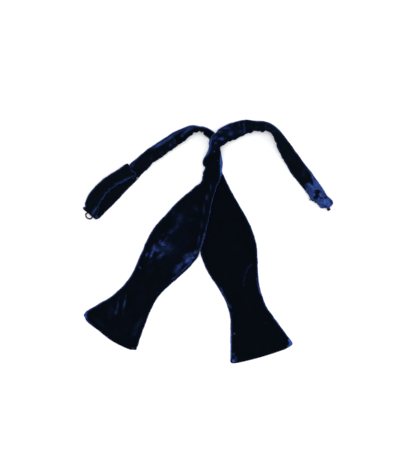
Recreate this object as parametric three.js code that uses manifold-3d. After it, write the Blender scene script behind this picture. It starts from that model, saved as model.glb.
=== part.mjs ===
// A self-tie butterfly bow tie in velvet, untied and laid flat, with its two halves crossed at the neck.
// Each half is one strip: a butterfly blade with its narrow neck, a seam, and a neckband with a metal end.
// The upper half runs from the hook at the right, over the crossing, to the left blade.
// The lower half runs from the eye at the left, under the crossing, to the right blade.
// Millimetres, +Z up. The tie lies on Z = 0 and is seen from above with its blades towards -Y.

import * as THREE from "three";
import { mergeVertices } from "three/addons/utils/BufferGeometryUtils.js";
import Module from "manifold-3d";

const wasm = await Module();
wasm.setup();

// Driving sizes of the cloth. Where the bands are folded over the metal ends they are pressed thinner.
const BLADE_THICK = 2.6;
const BAND_THICK = 3.2;
const PRESSED_THICK = 2.6;
const CROWN = 0.4;
const PRESSED_CROWN = 0.1;
const PRESSED_PLACES = ["under the fold", "over the fold", "return", "free end"];
const UPPER_END_BOW = 3.8;
const LOWER_END_BOW = 2.2;
const SEAM_GAP = 0.3;

// The left blade lies over the right one, and comes down to the table beside it within this reach.
const DRAPE_GAP = 0.55;
const DRAPE_REACH = 16;
const DRAPE_INSET = 2;
// The part of the lower half that lies flat: this far from its tip.
const DRAPE_LENGTH = 200;
// Where the upper half crosses the lower one it is raised to clear it by this much.
const CROSSING_GAP = 0.75;
const RAISE_SPREAD = 2;

// Driving sizes of the metal.
const WIRE_DIAMETER = 1;
const WIRE_SIDES = 8;
const WIRE_CLEARANCE = 0.4;
const EYE_SPAN = 10.4;
const EYE_LOOP_WIDTH = 8;
const EYE_LOOP_REACH = 5;
const EYE_OFFSET = -1.9;
const HOOK_REACH = 3.9;
const HOOK_BASE_WIDTH = 6;
const HOOK_BASE_LENGTH = 5.5;
const HOOK_SPREAD = 1.75;
const HOOK_TONGUE = 6.5;
const HOOK_LIFT = 0.06;
const HOOK_OFFSET = 1.1;

// Fineness of the mesh.
const STATION_STEP = 6.2;
const BLADE_ACROSS = 7;
const BAND_ACROSS = 3;
const FOLD_STEPS = 6;
const WIRE_STEP = 1.1;

// The middle of the outline, so that the tie's box is centred on the origin.
const LAYOUT_CENTRE = { x: 0.64, y: 0.31 };

// The butterfly shape: half the width that each blade shows, at a distance from its flared end.
// Both are cut alike, and the upper one shows a little narrower where it leans over the lower one.
const BLADE_SHAPE = [
  { place: "neck", fromEnd: 184, upper: 7.7, lower: 7.8 },
  { place: "shoulder", fromEnd: 174, upper: 8.4, lower: 10.6 },
  { place: "shoulder", fromEnd: 160, upper: 13.6, lower: 15.2 },
  { place: "shoulder", fromEnd: 144, upper: 19.2, lower: 21.1 },
  { place: "bulge", fromEnd: 127, upper: 23.6, lower: 26.1 },
  { place: "bulge", fromEnd: 111, upper: 25.9, lower: 28 },
  { place: "bulge", fromEnd: 95, upper: 24.2, lower: 26.1 },
  { place: "waist", fromEnd: 79, upper: 20.4, lower: 21.7 },
  { place: "waist", fromEnd: 66, upper: 17.7, lower: 18.7 },
  { place: "waist", fromEnd: 55, upper: 17, lower: 17.9 },
  { place: "waist", fromEnd: 44, upper: 18.3, lower: 18.6 },
  { place: "flare", fromEnd: 30, upper: 21.9, lower: 22.7 },
  { place: "flare", fromEnd: 16, upper: 26.9, lower: 27.4 },
  { place: "flare", fromEnd: 3.2, upper: 31.4, lower: 31.8 },
  { place: "corner", fromEnd: 1.1, upper: 31.2, lower: 31.6 },
  { place: "corner", fromEnd: 0, upper: 29.6, lower: 30 },
];

// The rows of each half, from its metal end to its neck. x, y is the middle of what shows from above,
// and width is the cloth's own width. roll lifts the edge at the left of the way along, lift is the
// height of the lowest point, and curl bends both edges down. Angles are in degrees.
const UPPER_ROWS = [
  { fold: "over the fold", x: 111.6, y: 44.7, width: 13.2, lift: 4.9, roll: 0, curl: 0 },
  { fold: "over the fold", x: 107.1, y: 50, width: 15.1, lift: 3.8, roll: 0, curl: 0 },
  { fold: "over the fold", x: 102.4, y: 56.5, width: 15.4, lift: 1.7, roll: 0, curl: 0 },
  { fold: "flat", x: 97.7, y: 63, width: 16, lift: 0.2, roll: 0, curl: 0 },
  { fold: "flat", x: 92.9, y: 69.3, width: 15.9, lift: 0, roll: 0, curl: 0 },
  { fold: "flat", x: 88.1, y: 75.8, width: 15.6, lift: 0, roll: 5, curl: 5 },
  { fold: "flat", x: 83.7, y: 82.4, width: 15.6, lift: 0, roll: 14, curl: 10 },
  { fold: "settle", x: 79.4, y: 89.1, width: 15.6, lift: 0, roll: 22, curl: 20 },
  { fold: "settle", x: 75.3, y: 96.1, width: 15.6, lift: 0, roll: 40, curl: 25 },
  { fold: "turn", x: 71.5, y: 103, width: 15.4, lift: 0, roll: 53, curl: 30 },
  { fold: "turn", x: 66.9, y: 109.6, width: 15.4, lift: 0, roll: 62, curl: 30 },
  { fold: "pucker", x: 60.5, y: 114.1, width: 15.2, lift: 0, roll: 61, curl: 30 },
  { fold: "on edge", x: 53.9, y: 115.2, width: 15.4, lift: 0, roll: 51, curl: 30 },
  { fold: "pucker", x: 48, y: 115.7, width: 15, lift: 0.2, roll: 54, curl: 30 },
  { fold: "tilt", x: 43.1, y: 115.3, width: 15.2, lift: 0.6, roll: 42, curl: 25 },
  { fold: "seam", x: 37.1, y: 114.7, width: 15.2, lift: 1.2, roll: 26, curl: 25 },
  { fold: "rise", x: 31.1, y: 112.6, width: 15.6, lift: 2, roll: 16, curl: 30 },
  { fold: "rise", x: 26.7, y: 110.9, width: 15.7, lift: 2.8, roll: 10, curl: 35 },
  { fold: "rise", x: 19.7, y: 108, width: 15.7, lift: 4.2, roll: 12, curl: 40 },
  { fold: "crossing", x: 13.6, y: 104.4, width: 15.5, lift: 5.4, roll: 16, curl: 45 },
  { fold: "crossing", x: 8, y: 98.9, width: 15.2, lift: 5.6, roll: 22, curl: 50 },
  { fold: "gather", x: 6.1, y: 93, width: 13.4, lift: 5, roll: 40, curl: 50 },
  { fold: "gather", x: 5.9, y: 88.8, width: 13.4, lift: 4, roll: 26, curl: 40 },
  { fold: "bulge", x: 4.4, y: 84.5, width: 15.2, lift: 2.8, roll: 14, curl: 25 },
  { fold: "bulge", x: 3.5, y: 80.5, width: 16.6, lift: 2, roll: 6, curl: 15 },
  { fold: "pinch", x: 4.5, y: 75, width: 14.8, lift: 1.2, roll: 12, curl: 15 },
  { fold: "neck", x: 3.8, y: 70, width: 15.9, lift: 0.6, roll: 4, curl: 6 },
  { fold: "neck", x: 2.9, y: 64.5, width: 16.2, lift: 0.2, roll: 0, curl: 0 },
];
const UPPER_AXIS = [
  { x: -0.1, y: 57.2 },
  { x: -8.1, y: 43.1 },
  { x: -27.2, y: 7.5 },
  { x: -44.6, y: -18.7 },
  { x: -63.4, y: -44.7 },
  { x: -82, y: -70.8 },
  { x: -92.3, y: -83.8 },
  { x: -98, y: -92.2 },
];

// The upper half's end is folded under round the hook's base, and its free end lies beneath the band.
const UPPER_FOLD = {
  x: 117.6, y: 38.9, width: 13.8, returnWidth: 13.8, heading: -66, rise: 1.4, shift: 0.3, side: -1,
};
const UPPER_RETURN = [
  { fold: "free end", x: 106.5, y: 49, width: 14.8, lift: 0, roll: 0, curl: 0 },
  { fold: "return", x: 110, y: 45.8, width: 14.2, lift: 0.3, roll: 0, curl: 0 },
  { fold: "return", x: 113.9, y: 42.2, width: 14, lift: 1, roll: 0, curl: 0 },
];

const LOWER_ROWS = [
  { fold: "under the fold", x: -106.1, y: 36.9, width: 15, lift: 0, roll: 0, curl: 0 },
  { fold: "under the fold", x: -99.1, y: 43.8, width: 15, lift: 0, roll: 0, curl: 0 },
  { fold: "under the fold", x: -92.9, y: 49.9, width: 15, lift: 0, roll: 0, curl: 0 },
  { fold: "under the fold", x: -87.2, y: 56.3, width: 15, lift: 0, roll: 0, curl: 0 },
  { fold: "under the fold", x: -80.4, y: 62.8, width: 15, lift: 0, roll: 0, curl: 0 },
  { fold: "under the fold", x: -74.2, y: 69.6, width: 15, lift: 0, roll: 0, curl: 0 },
  { fold: "flat", x: -68.3, y: 75.6, width: 14.6, lift: 0, roll: -6, curl: 6 },
  { fold: "flat", x: -62.3, y: 81.1, width: 15, lift: 0, roll: -16, curl: 15 },
  { fold: "pinch", x: -56.4, y: 86.2, width: 14.8, lift: 0, roll: -21, curl: 20 },
  { fold: "flat", x: -49.7, y: 90.7, width: 15.4, lift: 0, roll: -23, curl: 25 },
  { fold: "settle", x: -43.2, y: 95.3, width: 15.2, lift: 0, roll: -25, curl: 30 },
  { fold: "settle", x: -36.7, y: 99.5, width: 15.4, lift: 0, roll: -27, curl: 35 },
  { fold: "seam", x: -32.9, y: 102.4, width: 15.2, lift: 0, roll: -31, curl: 40 },
  { fold: "rise", x: -23, y: 108.3, width: 15.4, lift: 0, roll: -48, curl: 45 },
  { fold: "on edge", x: -15.8, y: 111.5, width: 15.4, lift: 0, roll: -62, curl: 40 },
  { fold: "on edge", x: -9.5, y: 112.7, width: 15.2, lift: 0, roll: -77, curl: 25 },
  { fold: "on edge", x: -3.8, y: 111.5, width: 14.4, lift: 0, roll: -73, curl: 30 },
  { fold: "turn", x: -0.1, y: 109, width: 11, thick: 4.4, lift: 0, roll: -58, curl: 40 },
  { fold: "bunched", x: 4.2, y: 105.5, width: 8.3, thick: 5, lift: 0, roll: -25, curl: 20 },
  { fold: "bunched", x: 7.2, y: 99, width: 10.2, thick: 4.6, lift: 0, roll: -12, curl: 40 },
  { fold: "bunched", x: 6.7, y: 92, width: 10.8, thick: 4.2, lift: 0, roll: -6, curl: 40 },
  { fold: "spreading", x: 7.7, y: 85, width: 11.6, thick: 3.8, lift: 0, roll: 0, curl: 40 },
  { fold: "spreading", x: 8.3, y: 78, width: 12.8, thick: 3.4, lift: 0, roll: 0, curl: 30 },
  { fold: "neck", x: 7.3, y: 71.5, width: 14.4, lift: 0, roll: 0, curl: 15 },
];
const LOWER_AXIS = [
  { x: 7.4, y: 66 },
  { x: 10.6, y: 45.3 },
  { x: 14.8, y: 21.7 },
  { x: 20.2, y: -6 },
  { x: 25.4, y: -25.2 },
  { x: 35.5, y: -55.5 },
  { x: 45.2, y: -86 },
  { x: 53.4, y: -111.8 },
];

// The lower half's end is folded over the eye's bar, and its free end lies on the band, a little askew.
const LOWER_FOLD = {
  x: -114, y: 29.6, width: 16, returnWidth: 14, heading: -126, rise: 0, shift: 2.8, side: 1,
};
const LOWER_RETURN = [
  { fold: "free end", x: -76, y: 71.1, width: 15, lift: 3, roll: 0, curl: 0 },
  { fold: "return", x: -84.6, y: 67.2, width: 12.4, lift: 3, roll: 0, curl: 0 },
  { fold: "return", x: -92, y: 62.8, width: 12.1, lift: 3, roll: 0, curl: 0 },
  { fold: "return", x: -99.5, y: 58.2, width: 12.2, lift: 3, roll: 0, curl: 0 },
  { fold: "return", x: -105.5, y: 53.1, width: 12.2, lift: 3, roll: 0, curl: 0 },
  { fold: "return", x: -110.5, y: 46.8, width: 13.6, lift: 3, roll: 0, curl: 0 },
  { fold: "return", x: -114.6, y: 39.8, width: 14, lift: 3.3, roll: 0, curl: 0 },
];

const UP = new THREE.Vector3(0, 0, 1);

function radians(degrees) {
  return (degrees * Math.PI) / 180;
}

function smoothstep(low, high, value) {
  const t = Math.min(1, Math.max(0, (value - low) / (high - low)));
  return t * t * (3 - 2 * t);
}

// A smooth curve through rows of numbers: every column is interpolated over the distance in plan.
function smoothRows(rows, columns) {
  const at = [0];
  for (let i = 1; i < rows.length; i++) {
    at.push(at[i - 1] + Math.hypot(rows[i].x - rows[i - 1].x, rows[i].y - rows[i - 1].y));
  }
  const last = rows.length - 1;
  const slope = (column, i) => {
    const a = Math.max(0, i - 1);
    const b = Math.min(last, i + 1);
    return (rows[b][column] - rows[a][column]) / (at[b] - at[a]);
  };
  const read = (s) => {
    let i = 0;
    while (i < last - 1 && s > at[i + 1]) i++;
    const span = at[i + 1] - at[i];
    const t = (s - at[i]) / span;
    const row = { s };
    for (const column of columns) {
      row[column] =
        (2 * t ** 3 - 3 * t ** 2 + 1) * rows[i][column] +
        (t ** 3 - 2 * t ** 2 + t) * span * slope(column, i) +
        (3 * t ** 2 - 2 * t ** 3) * rows[i + 1][column] +
        (t ** 3 - t ** 2) * span * slope(column, i + 1);
    }
    return row;
  };
  return { at, length: at[last], read };
}

// The direction in plan of a smooth curve at distance s.
function headingAt(curve, s) {
  const near = 0.4;
  const a = curve.read(Math.max(0, s - near));
  const b = curve.read(Math.min(curve.length, s + near));
  return new THREE.Vector3(b.x - a.x, b.y - a.y, 0).normalize();
}

// The blade's rows: its shape laid along an axis, which starts at the neck and ends at the flare.
function bladeRows(neckRow, axisRows, layer, endBow) {
  const axis = smoothRows([neckRow, ...axisRows], ["x", "y"]);
  return BLADE_SHAPE.filter((row) => row.fromEnd < axis.length).map((row) => {
    const { x, y } = axis.read(axis.length - row.fromEnd);
    const bow = endBow * (1 - smoothstep(0, 45, row.fromEnd));
    const flat = { lift: 0, roll: 0, curl: 0 };
    return { fold: row.place, x, y, width: 2 * row[layer], thick: BLADE_THICK, bow, ...flat };
  });
}

// The outline of a section in its own plane: across is u and through is v, with rounded edges.
function sectionOutline(width, thick, acrossPoints, crown) {
  const radius = thick / 2;
  const flat = width / 2 - radius;
  const outline = [];
  const topOf = (u) => radius + crown * (1 - (u / flat) ** 2);
  for (const degrees of [-45, 0, 45]) {
    const a = radians(degrees);
    outline.push([flat + radius * Math.cos(a), radius * Math.sin(a)]);
  }
  for (let i = 0; i <= acrossPoints + 1; i++) {
    const u = flat * (1 - (2 * i) / (acrossPoints + 1));
    outline.push([u, topOf(u)]);
  }
  for (const degrees of [135, 180, 225]) {
    const a = radians(degrees);
    outline.push([-flat + radius * Math.cos(a), radius * Math.sin(a)]);
  }
  for (let i = 0; i <= acrossPoints + 1; i++) {
    outline.push([flat * ((2 * i) / (acrossPoints + 1) - 1), -radius]);
  }
  return outline;
}

// Bends a section's plane round an arc of the given angle, so that both edges drop.
function curlPoint([u, v], width, curl) {
  if (Math.abs(curl) < 0.5) return [u, v];
  const bend = width / radians(curl);
  return [(bend + v) * Math.sin(u / bend), (bend + v) * Math.cos(u / bend) - bend];
}

// One ring of points about its section's middle. up is the way its face looks before it is rolled.
function ringOf(station, across) {
  const { width, thick, crown, curl, roll, bow, heading, up } = station;
  const left = new THREE.Vector3().crossVectors(up, heading);
  const rolledLeft = left.clone().multiplyScalar(Math.cos(radians(roll)));
  rolledLeft.addScaledVector(up, Math.sin(radians(roll)));
  const rolledUp = up.clone().multiplyScalar(Math.cos(radians(roll)));
  rolledUp.addScaledVector(left, -Math.sin(radians(roll)));
  return sectionOutline(width, thick, across, crown).map((flat) => {
    const [u, v] = curlPoint(flat, width, curl);
    const point = rolledLeft.clone().multiplyScalar(u).addScaledVector(rolledUp, v);
    return point.addScaledVector(heading, bow * (1 - (2 * flat[0] / width) ** 2));
  });
}

// Places a ring in plan: what shows is centred on x, y, and its lowest point is at the row's lift.
function placedRing(station, across) {
  const points = ringOf(station, across);
  const left = new THREE.Vector3().crossVectors(station.up, station.heading);
  const sides = points.map((point) => point.dot(left));
  const middle = (Math.min(...sides) + Math.max(...sides)) / 2;
  const lowest = Math.min(...points.map((point) => point.z));
  const move = new THREE.Vector3(station.x, station.y, station.lift - lowest);
  move.addScaledVector(left, -middle);
  return points.map((point) => point.add(move));
}

// Stations along rows, no further apart than STATION_STEP.
function stationsAlong(rows, up) {
  const columns = ["x", "y", "width", "thick", "crown", "lift", "roll", "curl", "bow"];
  const full = rows.map((row) => {
    const pressed = PRESSED_PLACES.includes(row.fold);
    const thick = pressed ? PRESSED_THICK : BAND_THICK;
    return { thick, crown: pressed ? PRESSED_CROWN : CROWN, bow: 0, ...row };
  });
  const curve = smoothRows(full, columns);
  const stations = [];
  for (let i = 0; i < full.length - 1; i++) {
    const span = curve.at[i + 1] - curve.at[i];
    const steps = Math.max(1, Math.ceil(span / STATION_STEP));
    for (let k = 0; k < steps; k++) {
      const station = curve.read(curve.at[i] + (span * k) / steps);
      stations.push({ ...station, fold: k === 0 ? full[i].fold : "" });
    }
  }
  stations.push({ ...curve.read(curve.length), fold: full[full.length - 1].fold });
  return stations.map((station) => {
    const heading = headingAt(curve, station.s);
    return { ...station, lift: Math.max(0, station.lift), heading, up };
  });
}

// A fold's own directions in plan, its level axis, where the wire lies, and the cloth's radius about it.
function foldFrame(fold) {
  const out = new THREE.Vector3(Math.cos(radians(fold.heading)), Math.sin(radians(fold.heading)), 0);
  const left = new THREE.Vector3().crossVectors(out, UP);
  const inside = WIRE_DIAMETER / 2 + WIRE_CLEARANCE;
  const radius = inside + PRESSED_THICK / 2;
  const axis = new THREE.Vector3(fold.x, fold.y, fold.rise + PRESSED_THICK + inside);
  return { out, left, radius, axis };
}

// The rings of a fold, from its free layer to the band: half a turn about the fold's axis.
// side is 1 where the free layer is on top, and -1 where it is underneath.
function foldRings(fold, across) {
  const { out, left, radius, axis } = foldFrame(fold);
  const rings = [];
  for (let i = 0; i <= FOLD_STEPS; i++) {
    const turn = (Math.PI * i) / FOLD_STEPS;
    const heading = out.clone().multiplyScalar(Math.cos(turn));
    heading.addScaledVector(UP, -fold.side * Math.sin(turn));
    const up = new THREE.Vector3().crossVectors(heading, left);
    const centre = axis.clone().addScaledVector(up, -fold.side * radius);
    centre.addScaledVector(left, fold.shift * (1 - i / FOLD_STEPS));
    const width = THREE.MathUtils.lerp(fold.returnWidth, fold.width, i / FOLD_STEPS);
    const station = { width, thick: PRESSED_THICK, crown: 0, curl: 0, roll: 0, bow: 0, heading, up };
    rings.push(ringOf(station, across).map((point) => point.add(centre)));
  }
  return rings;
}

// The triangles that close a ring of points, from one edge of the strip to the other.
function ladder(count) {
  const faces = [];
  let low = 0;
  let high = count - 1;
  while (high - low > 1) {
    faces.push([low, low + 1, high]);
    low += 1;
    if (high - low > 1) {
      faces.push([low, high - 1, high]);
      high -= 1;
    }
  }
  return faces;
}

// A closed surface through rings of equally many points, capped at both ends.
function loft(rings) {
  const count = rings[0].length;
  const positions = rings.flat().flatMap((point) => [point.x, point.y, point.z]);
  const faces = [];
  for (let i = 0; i < rings.length - 1; i++) {
    for (let k = 0; k < count; k++) {
      const a = i * count + k;
      const b = i * count + ((k + 1) % count);
      faces.push(a, b, b + count, a, b + count, a + count);
    }
  }
  const end = (rings.length - 1) * count;
  for (const [a, b, c] of ladder(count)) faces.push(a, c, b, end + a, end + b, end + c);
  const geometry = new THREE.BufferGeometry();
  geometry.setAttribute("position", new THREE.Float32BufferAttribute(positions, 3));
  geometry.setIndex(faces);
  return geometry;
}

function toSolid(geometry) {
  const merged = mergeVertices(geometry, 1e-4);
  const triVerts = new Uint32Array(merged.index.array);
  const solid = new wasm.Manifold(
    new wasm.Mesh({ numProp: 3, vertProperties: merged.attributes.position.array, triVerts }),
  );
  if (solid.volume() > 0) return solid;
  for (let i = 0; i < triVerts.length; i += 3) {
    [triVerts[i + 1], triVerts[i + 2]] = [triVerts[i + 2], triVerts[i + 1]];
  }
  return new wasm.Manifold(
    new wasm.Mesh({ numProp: 3, vertProperties: merged.attributes.position.array, triVerts }),
  );
}

function toGeometry(solid) {
  const mesh = solid.getMesh();
  const positions = [];
  for (let i = 0; i < mesh.numVert; i++) {
    positions.push(...mesh.vertProperties.subarray(i * mesh.numProp, i * mesh.numProp + 3));
  }
  const geometry = new THREE.BufferGeometry();
  geometry.setAttribute("position", new THREE.Float32BufferAttribute(positions, 3));
  geometry.setIndex(Array.from(mesh.triVerts));
  geometry.computeVertexNormals();
  return geometry;
}

// The rings of a round wire along a list of points.
function wireRings(points, diameter) {
  const path = new THREE.CatmullRomCurve3(points, false, "centripetal");
  const steps = Math.ceil(path.getLength() / WIRE_STEP);
  const frames = path.computeFrenetFrames(steps, false);
  const rings = [];
  for (let i = 0; i <= steps; i++) {
    const centre = path.getPointAt(i / steps);
    const ring = [];
    for (let k = 0; k < WIRE_SIDES; k++) {
      const a = (2 * Math.PI * k) / WIRE_SIDES;
      const point = centre.clone().addScaledVector(frames.normals[i], (diameter / 2) * Math.cos(a));
      ring.push(point.addScaledVector(frames.binormals[i], (diameter / 2) * Math.sin(a)));
    }
    rings.push(ring);
  }
  return { rings, start: frames.tangents[0], end: frames.tangents[steps] };
}

function wire(points) {
  return toSolid(loft(wireRings(points, WIRE_DIAMETER).rings));
}

// The room that cloth leaves round a wire: the same path with clearance on every side and at the ends.
function wireRoom(points) {
  const { rings, start, end } = wireRings(points, WIRE_DIAMETER + 2 * WIRE_CLEARANCE);
  const pushed = (ring, direction, by) => {
    return ring.map((point) => point.clone().addScaledVector(direction, by));
  };
  const all = [
    pushed(rings[0], start, -WIRE_CLEARANCE),
    ...rings,
    pushed(rings[rings.length - 1], end, WIRE_CLEARANCE),
  ];
  const spans = all.slice(2).map((ring, i) => {
    const corners = [...all[i], ...all[i + 1], ...ring];
    return wasm.Manifold.hull(corners.map((point) => [point.x, point.y, point.z]));
  });
  return wasm.Manifold.union(spans);
}

// A point near a fold: along is out of the fold, side is across the band, and up is above its axis.
function foldPoint(fold, along, side, up) {
  const { out, left, axis } = foldFrame(fold);
  return axis.clone().addScaledVector(out, along).addScaledVector(left, -side).addScaledVector(UP, up);
}

// The eye: a bar inside the fold, and a round loop out through the fold.
function eyePoints() {
  const outside = foldFrame(LOWER_FOLD).radius + PRESSED_THICK / 2;
  const tip = outside + EYE_LOOP_REACH - WIRE_DIAMETER / 2;
  const half = (EYE_LOOP_WIDTH - WIRE_DIAMETER) / 2;
  const oneSide = [
    [0, EYE_SPAN / 2, 0],
    [0, half + 0.9, 0],
    [0.7, half + 0.1, 0],
    [outside * 0.62, half - 0.4, -0.1],
    [outside + 0.2, half - 0.2, -0.4],
  ];
  const loop = [18, 54, 90, 126, 162].map((degrees) => {
    const reach = (tip - outside - 1.6) * Math.sin(radians(degrees));
    return [outside + 1.6 + reach, half * 1.06 * Math.cos(radians(degrees)), -0.7 - 0.25 * reach];
  });
  const otherSide = oneSide.map(([along, side, up]) => [along, -side, up]).reverse();
  return [...oneSide, ...loop, ...otherSide].map(([along, side, up]) =>
    foldPoint(LOWER_FOLD, along, side + EYE_OFFSET, up),
  );
}

// The hook: a doubled wire with its spread ends in the fold. Its nose bends down and back under the band.
function hookPoints() {
  const { radius, axis } = foldFrame(UPPER_FOLD);
  const outside = radius + PRESSED_THICK / 2;
  const half = HOOK_SPREAD / 2;
  const drop = axis.z - WIRE_DIAMETER / 2 - HOOK_LIFT;
  const nose = drop / 2;
  const noseAt = outside + HOOK_REACH - WIRE_DIAMETER / 2 - nose;
  const oneSide = [];
  oneSide.push([-HOOK_BASE_LENGTH, HOOK_BASE_WIDTH / 2, 0]);
  oneSide.push([-HOOK_BASE_LENGTH * 0.5, HOOK_BASE_WIDTH * 0.34, 0]);
  oneSide.push([0, half + 0.35, 0]);
  oneSide.push([outside, half, 0]);
  for (const degrees of [90, 60, 30, 0, -30, -60, -90]) {
    const a = radians(degrees);
    oneSide.push([noseAt + nose * Math.cos(a), half, -nose + nose * Math.sin(a)]);
  }
  oneSide.push([noseAt - HOOK_TONGUE * 0.45, half, -drop]);
  oneSide.push([noseAt - HOOK_TONGUE * 0.88, half * 0.92, -drop]);
  const tip = [noseAt - HOOK_TONGUE, 0, -drop];
  const otherSide = oneSide.map(([along, side, up]) => [along, -side, up]).reverse();
  return [...oneSide, tip, ...otherSide].map(([along, side, up]) =>
    foldPoint(UPPER_FOLD, along, side + HOOK_OFFSET, up),
  );
}

// The plan outline of the flat part of a strip, for the cloth that drapes over it.
function planOutline(stations) {
  const leftSide = [];
  const rightSide = [];
  const last = stations[stations.length - 1];
  for (const station of stations) {
    if (last.s - station.s > DRAPE_LENGTH) continue;
    const left = new THREE.Vector3().crossVectors(UP, station.heading);
    leftSide.push([station.x + (left.x * station.width) / 2, station.y + (left.y * station.width) / 2]);
    rightSide.push([station.x - (left.x * station.width) / 2, station.y - (left.y * station.width) / 2]);
  }
  return [...leftSide, ...rightSide.reverse()];
}

// How far a point lies inside a closed outline, negative outside.
function insideBy(outline, x, y) {
  let nearest = Infinity;
  let inside = false;
  for (let i = 0, j = outline.length - 1; i < outline.length; j = i++) {
    const [ax, ay] = outline[j];
    const [bx, by] = outline[i];
    const along = ((x - ax) * (bx - ax) + (y - ay) * (by - ay)) / ((bx - ax) ** 2 + (by - ay) ** 2);
    const t = Math.min(1, Math.max(0, along));
    nearest = Math.min(nearest, Math.hypot(x - ax - t * (bx - ax), y - ay - t * (by - ay)));
    if (ay > y !== by > y && x < ax + ((y - ay) * (bx - ax)) / (by - ay)) inside = !inside;
  }
  return inside ? nearest : -nearest;
}

function drapeOver(rings, outline) {
  const height = BLADE_THICK + CROWN + DRAPE_GAP;
  for (const point of rings.flat()) {
    point.z += height * smoothstep(-DRAPE_REACH, DRAPE_INSET, insideBy(outline, point.x, point.y));
  }
}

// One half of the tie: its band's rings, from the free end of the fold to the seam, and its blade's.
function halfRings({ rows, axis, layer, endBow, fold, returnRows }) {
  const { left, radius } = foldFrame(fold);
  const low = fold.rise;
  const high = fold.rise + 2 * radius;
  const level = { roll: 0, curl: 0 };
  const bandStart = {
    fold: "under the fold",
    x: fold.x,
    y: fold.y,
    width: fold.width,
    lift: fold.side > 0 ? low : high,
    ...level,
  };
  const returnEnd = {
    fold: "return",
    x: fold.x + left.x * fold.shift,
    y: fold.y + left.y * fold.shift,
    width: fold.returnWidth,
    lift: fold.side > 0 ? high : low,
    ...level,
  };
  const freeLayer = stationsAlong([...returnRows, returnEnd], UP.clone().negate());
  const neck = rows[rows.length - 1];
  const stations = stationsAlong([bandStart, ...rows, ...bladeRows(neck, axis, layer, endBow)], UP);
  const seam = stations.findIndex((station) => station.fold === "seam");
  const band = [
    ...freeLayer.slice(0, -1).map((station) => placedRing(station, BAND_ACROSS)),
    ...foldRings(fold, BAND_ACROSS),
    ...stations.slice(1, seam + 1).map((station) => placedRing(station, BAND_ACROSS)),
  ];
  const blade = stations.slice(seam).map((station) => placedRing(station, BLADE_ACROSS));
  const along = stations[seam].heading;
  for (const point of band[band.length - 1]) point.addScaledVector(along, -SEAM_GAP / 2);
  for (const point of blade[0]) point.addScaledVector(along, SEAM_GAP / 2);
  return { stations, band, blade };
}

// The height of a surface above a point in plan, or far below where there is none.
function heightOver(geometry, x, y) {
  const positions = geometry.attributes.position;
  const index = geometry.index.array;
  let height = -Infinity;
  for (let i = 0; i < index.length; i += 3) {
    const [a, b, c] = [index[i], index[i + 1], index[i + 2]];
    const [ax, ay] = [positions.getX(a) - x, positions.getY(a) - y];
    const [bx, by] = [positions.getX(b) - x, positions.getY(b) - y];
    const [cx, cy] = [positions.getX(c) - x, positions.getY(c) - y];
    const toA = bx * cy - cx * by;
    const toB = cx * ay - ax * cy;
    const toC = ax * by - bx * ay;
    const area = toA + toB + toC;
    if (Math.abs(area) < 1e-9 || toA / area < 0 || toB / area < 0 || toC / area < 0) continue;
    const z = (toA * positions.getZ(a) + toB * positions.getZ(b) + toC * positions.getZ(c)) / area;
    height = Math.max(height, z);
  }
  return height;
}

// Raises each ring until it clears the cloth below it, and evens the raise out along the strip.
function raiseOver(rings, below) {
  const needed = rings.map((ring) => {
    const short = ring.map((point) => heightOver(below, point.x, point.y) + CROSSING_GAP - point.z);
    return Math.max(0, ...short);
  });
  const near = (values, i) => values.slice(Math.max(0, i - RAISE_SPREAD), i + RAISE_SPREAD + 1);
  const widened = needed.map((_, i) => Math.max(...near(needed, i)));
  rings.forEach((ring, i) => {
    const around = near(widened, i);
    const raise = around.reduce((sum, value) => sum + value, 0) / around.length;
    for (const point of ring) point.z += raise;
  });
}

const VELVET = { color: 0x0a1230, roughness: 0.95, metalness: 0 };
const DARK_METAL = { color: 0x4a4a55, roughness: 0.35, metalness: 1 };

const tie = new THREE.Group();

function addNode(name, solid, finish) {
  const mesh = new THREE.Mesh(toGeometry(solid), new THREE.MeshStandardMaterial(finish));
  mesh.name = name;
  mesh.position.set(-LAYOUT_CENTRE.x, -LAYOUT_CENTRE.y, 0);
  tie.add(mesh);
}

// The lower half, from the eye to the right blade.
const lower = halfRings({
  rows: LOWER_ROWS,
  axis: LOWER_AXIS,
  layer: "lower",
  endBow: LOWER_END_BOW,
  fold: LOWER_FOLD,
  returnRows: LOWER_RETURN,
});
const lowerBlade = loft(lower.blade);
addNode("right_blade", toSolid(lowerBlade), VELVET);
addNode("left_neckband", toSolid(loft(lower.band)).subtract(wireRoom(eyePoints())), VELVET);
addNode("eye", wire(eyePoints()), DARK_METAL);

// The upper half, from the hook to the left blade.
const upper = halfRings({
  rows: UPPER_ROWS,
  axis: UPPER_AXIS,
  layer: "upper",
  endBow: UPPER_END_BOW,
  fold: UPPER_FOLD,
  returnRows: UPPER_RETURN,
});
drapeOver(upper.blade, planOutline(lower.stations));
raiseOver(upper.blade, lowerBlade);
addNode("left_blade", toSolid(loft(upper.blade)), VELVET);
addNode("right_neckband", toSolid(loft(upper.band)).subtract(wireRoom(hookPoints())), VELVET);
addNode("hook", wire(hookPoints()), DARK_METAL);

export default tie;
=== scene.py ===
"""A velvet self-tie butterfly bow tie, untied and laid flat, seen from straight above.

Each half is one strip that is bent through rows of sections, as in the solids: a neckband with a folded
end and a metal fastener, a seam, and a butterfly blade. Sizes are millimetres until a mesh is made.
"""

import math

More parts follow.
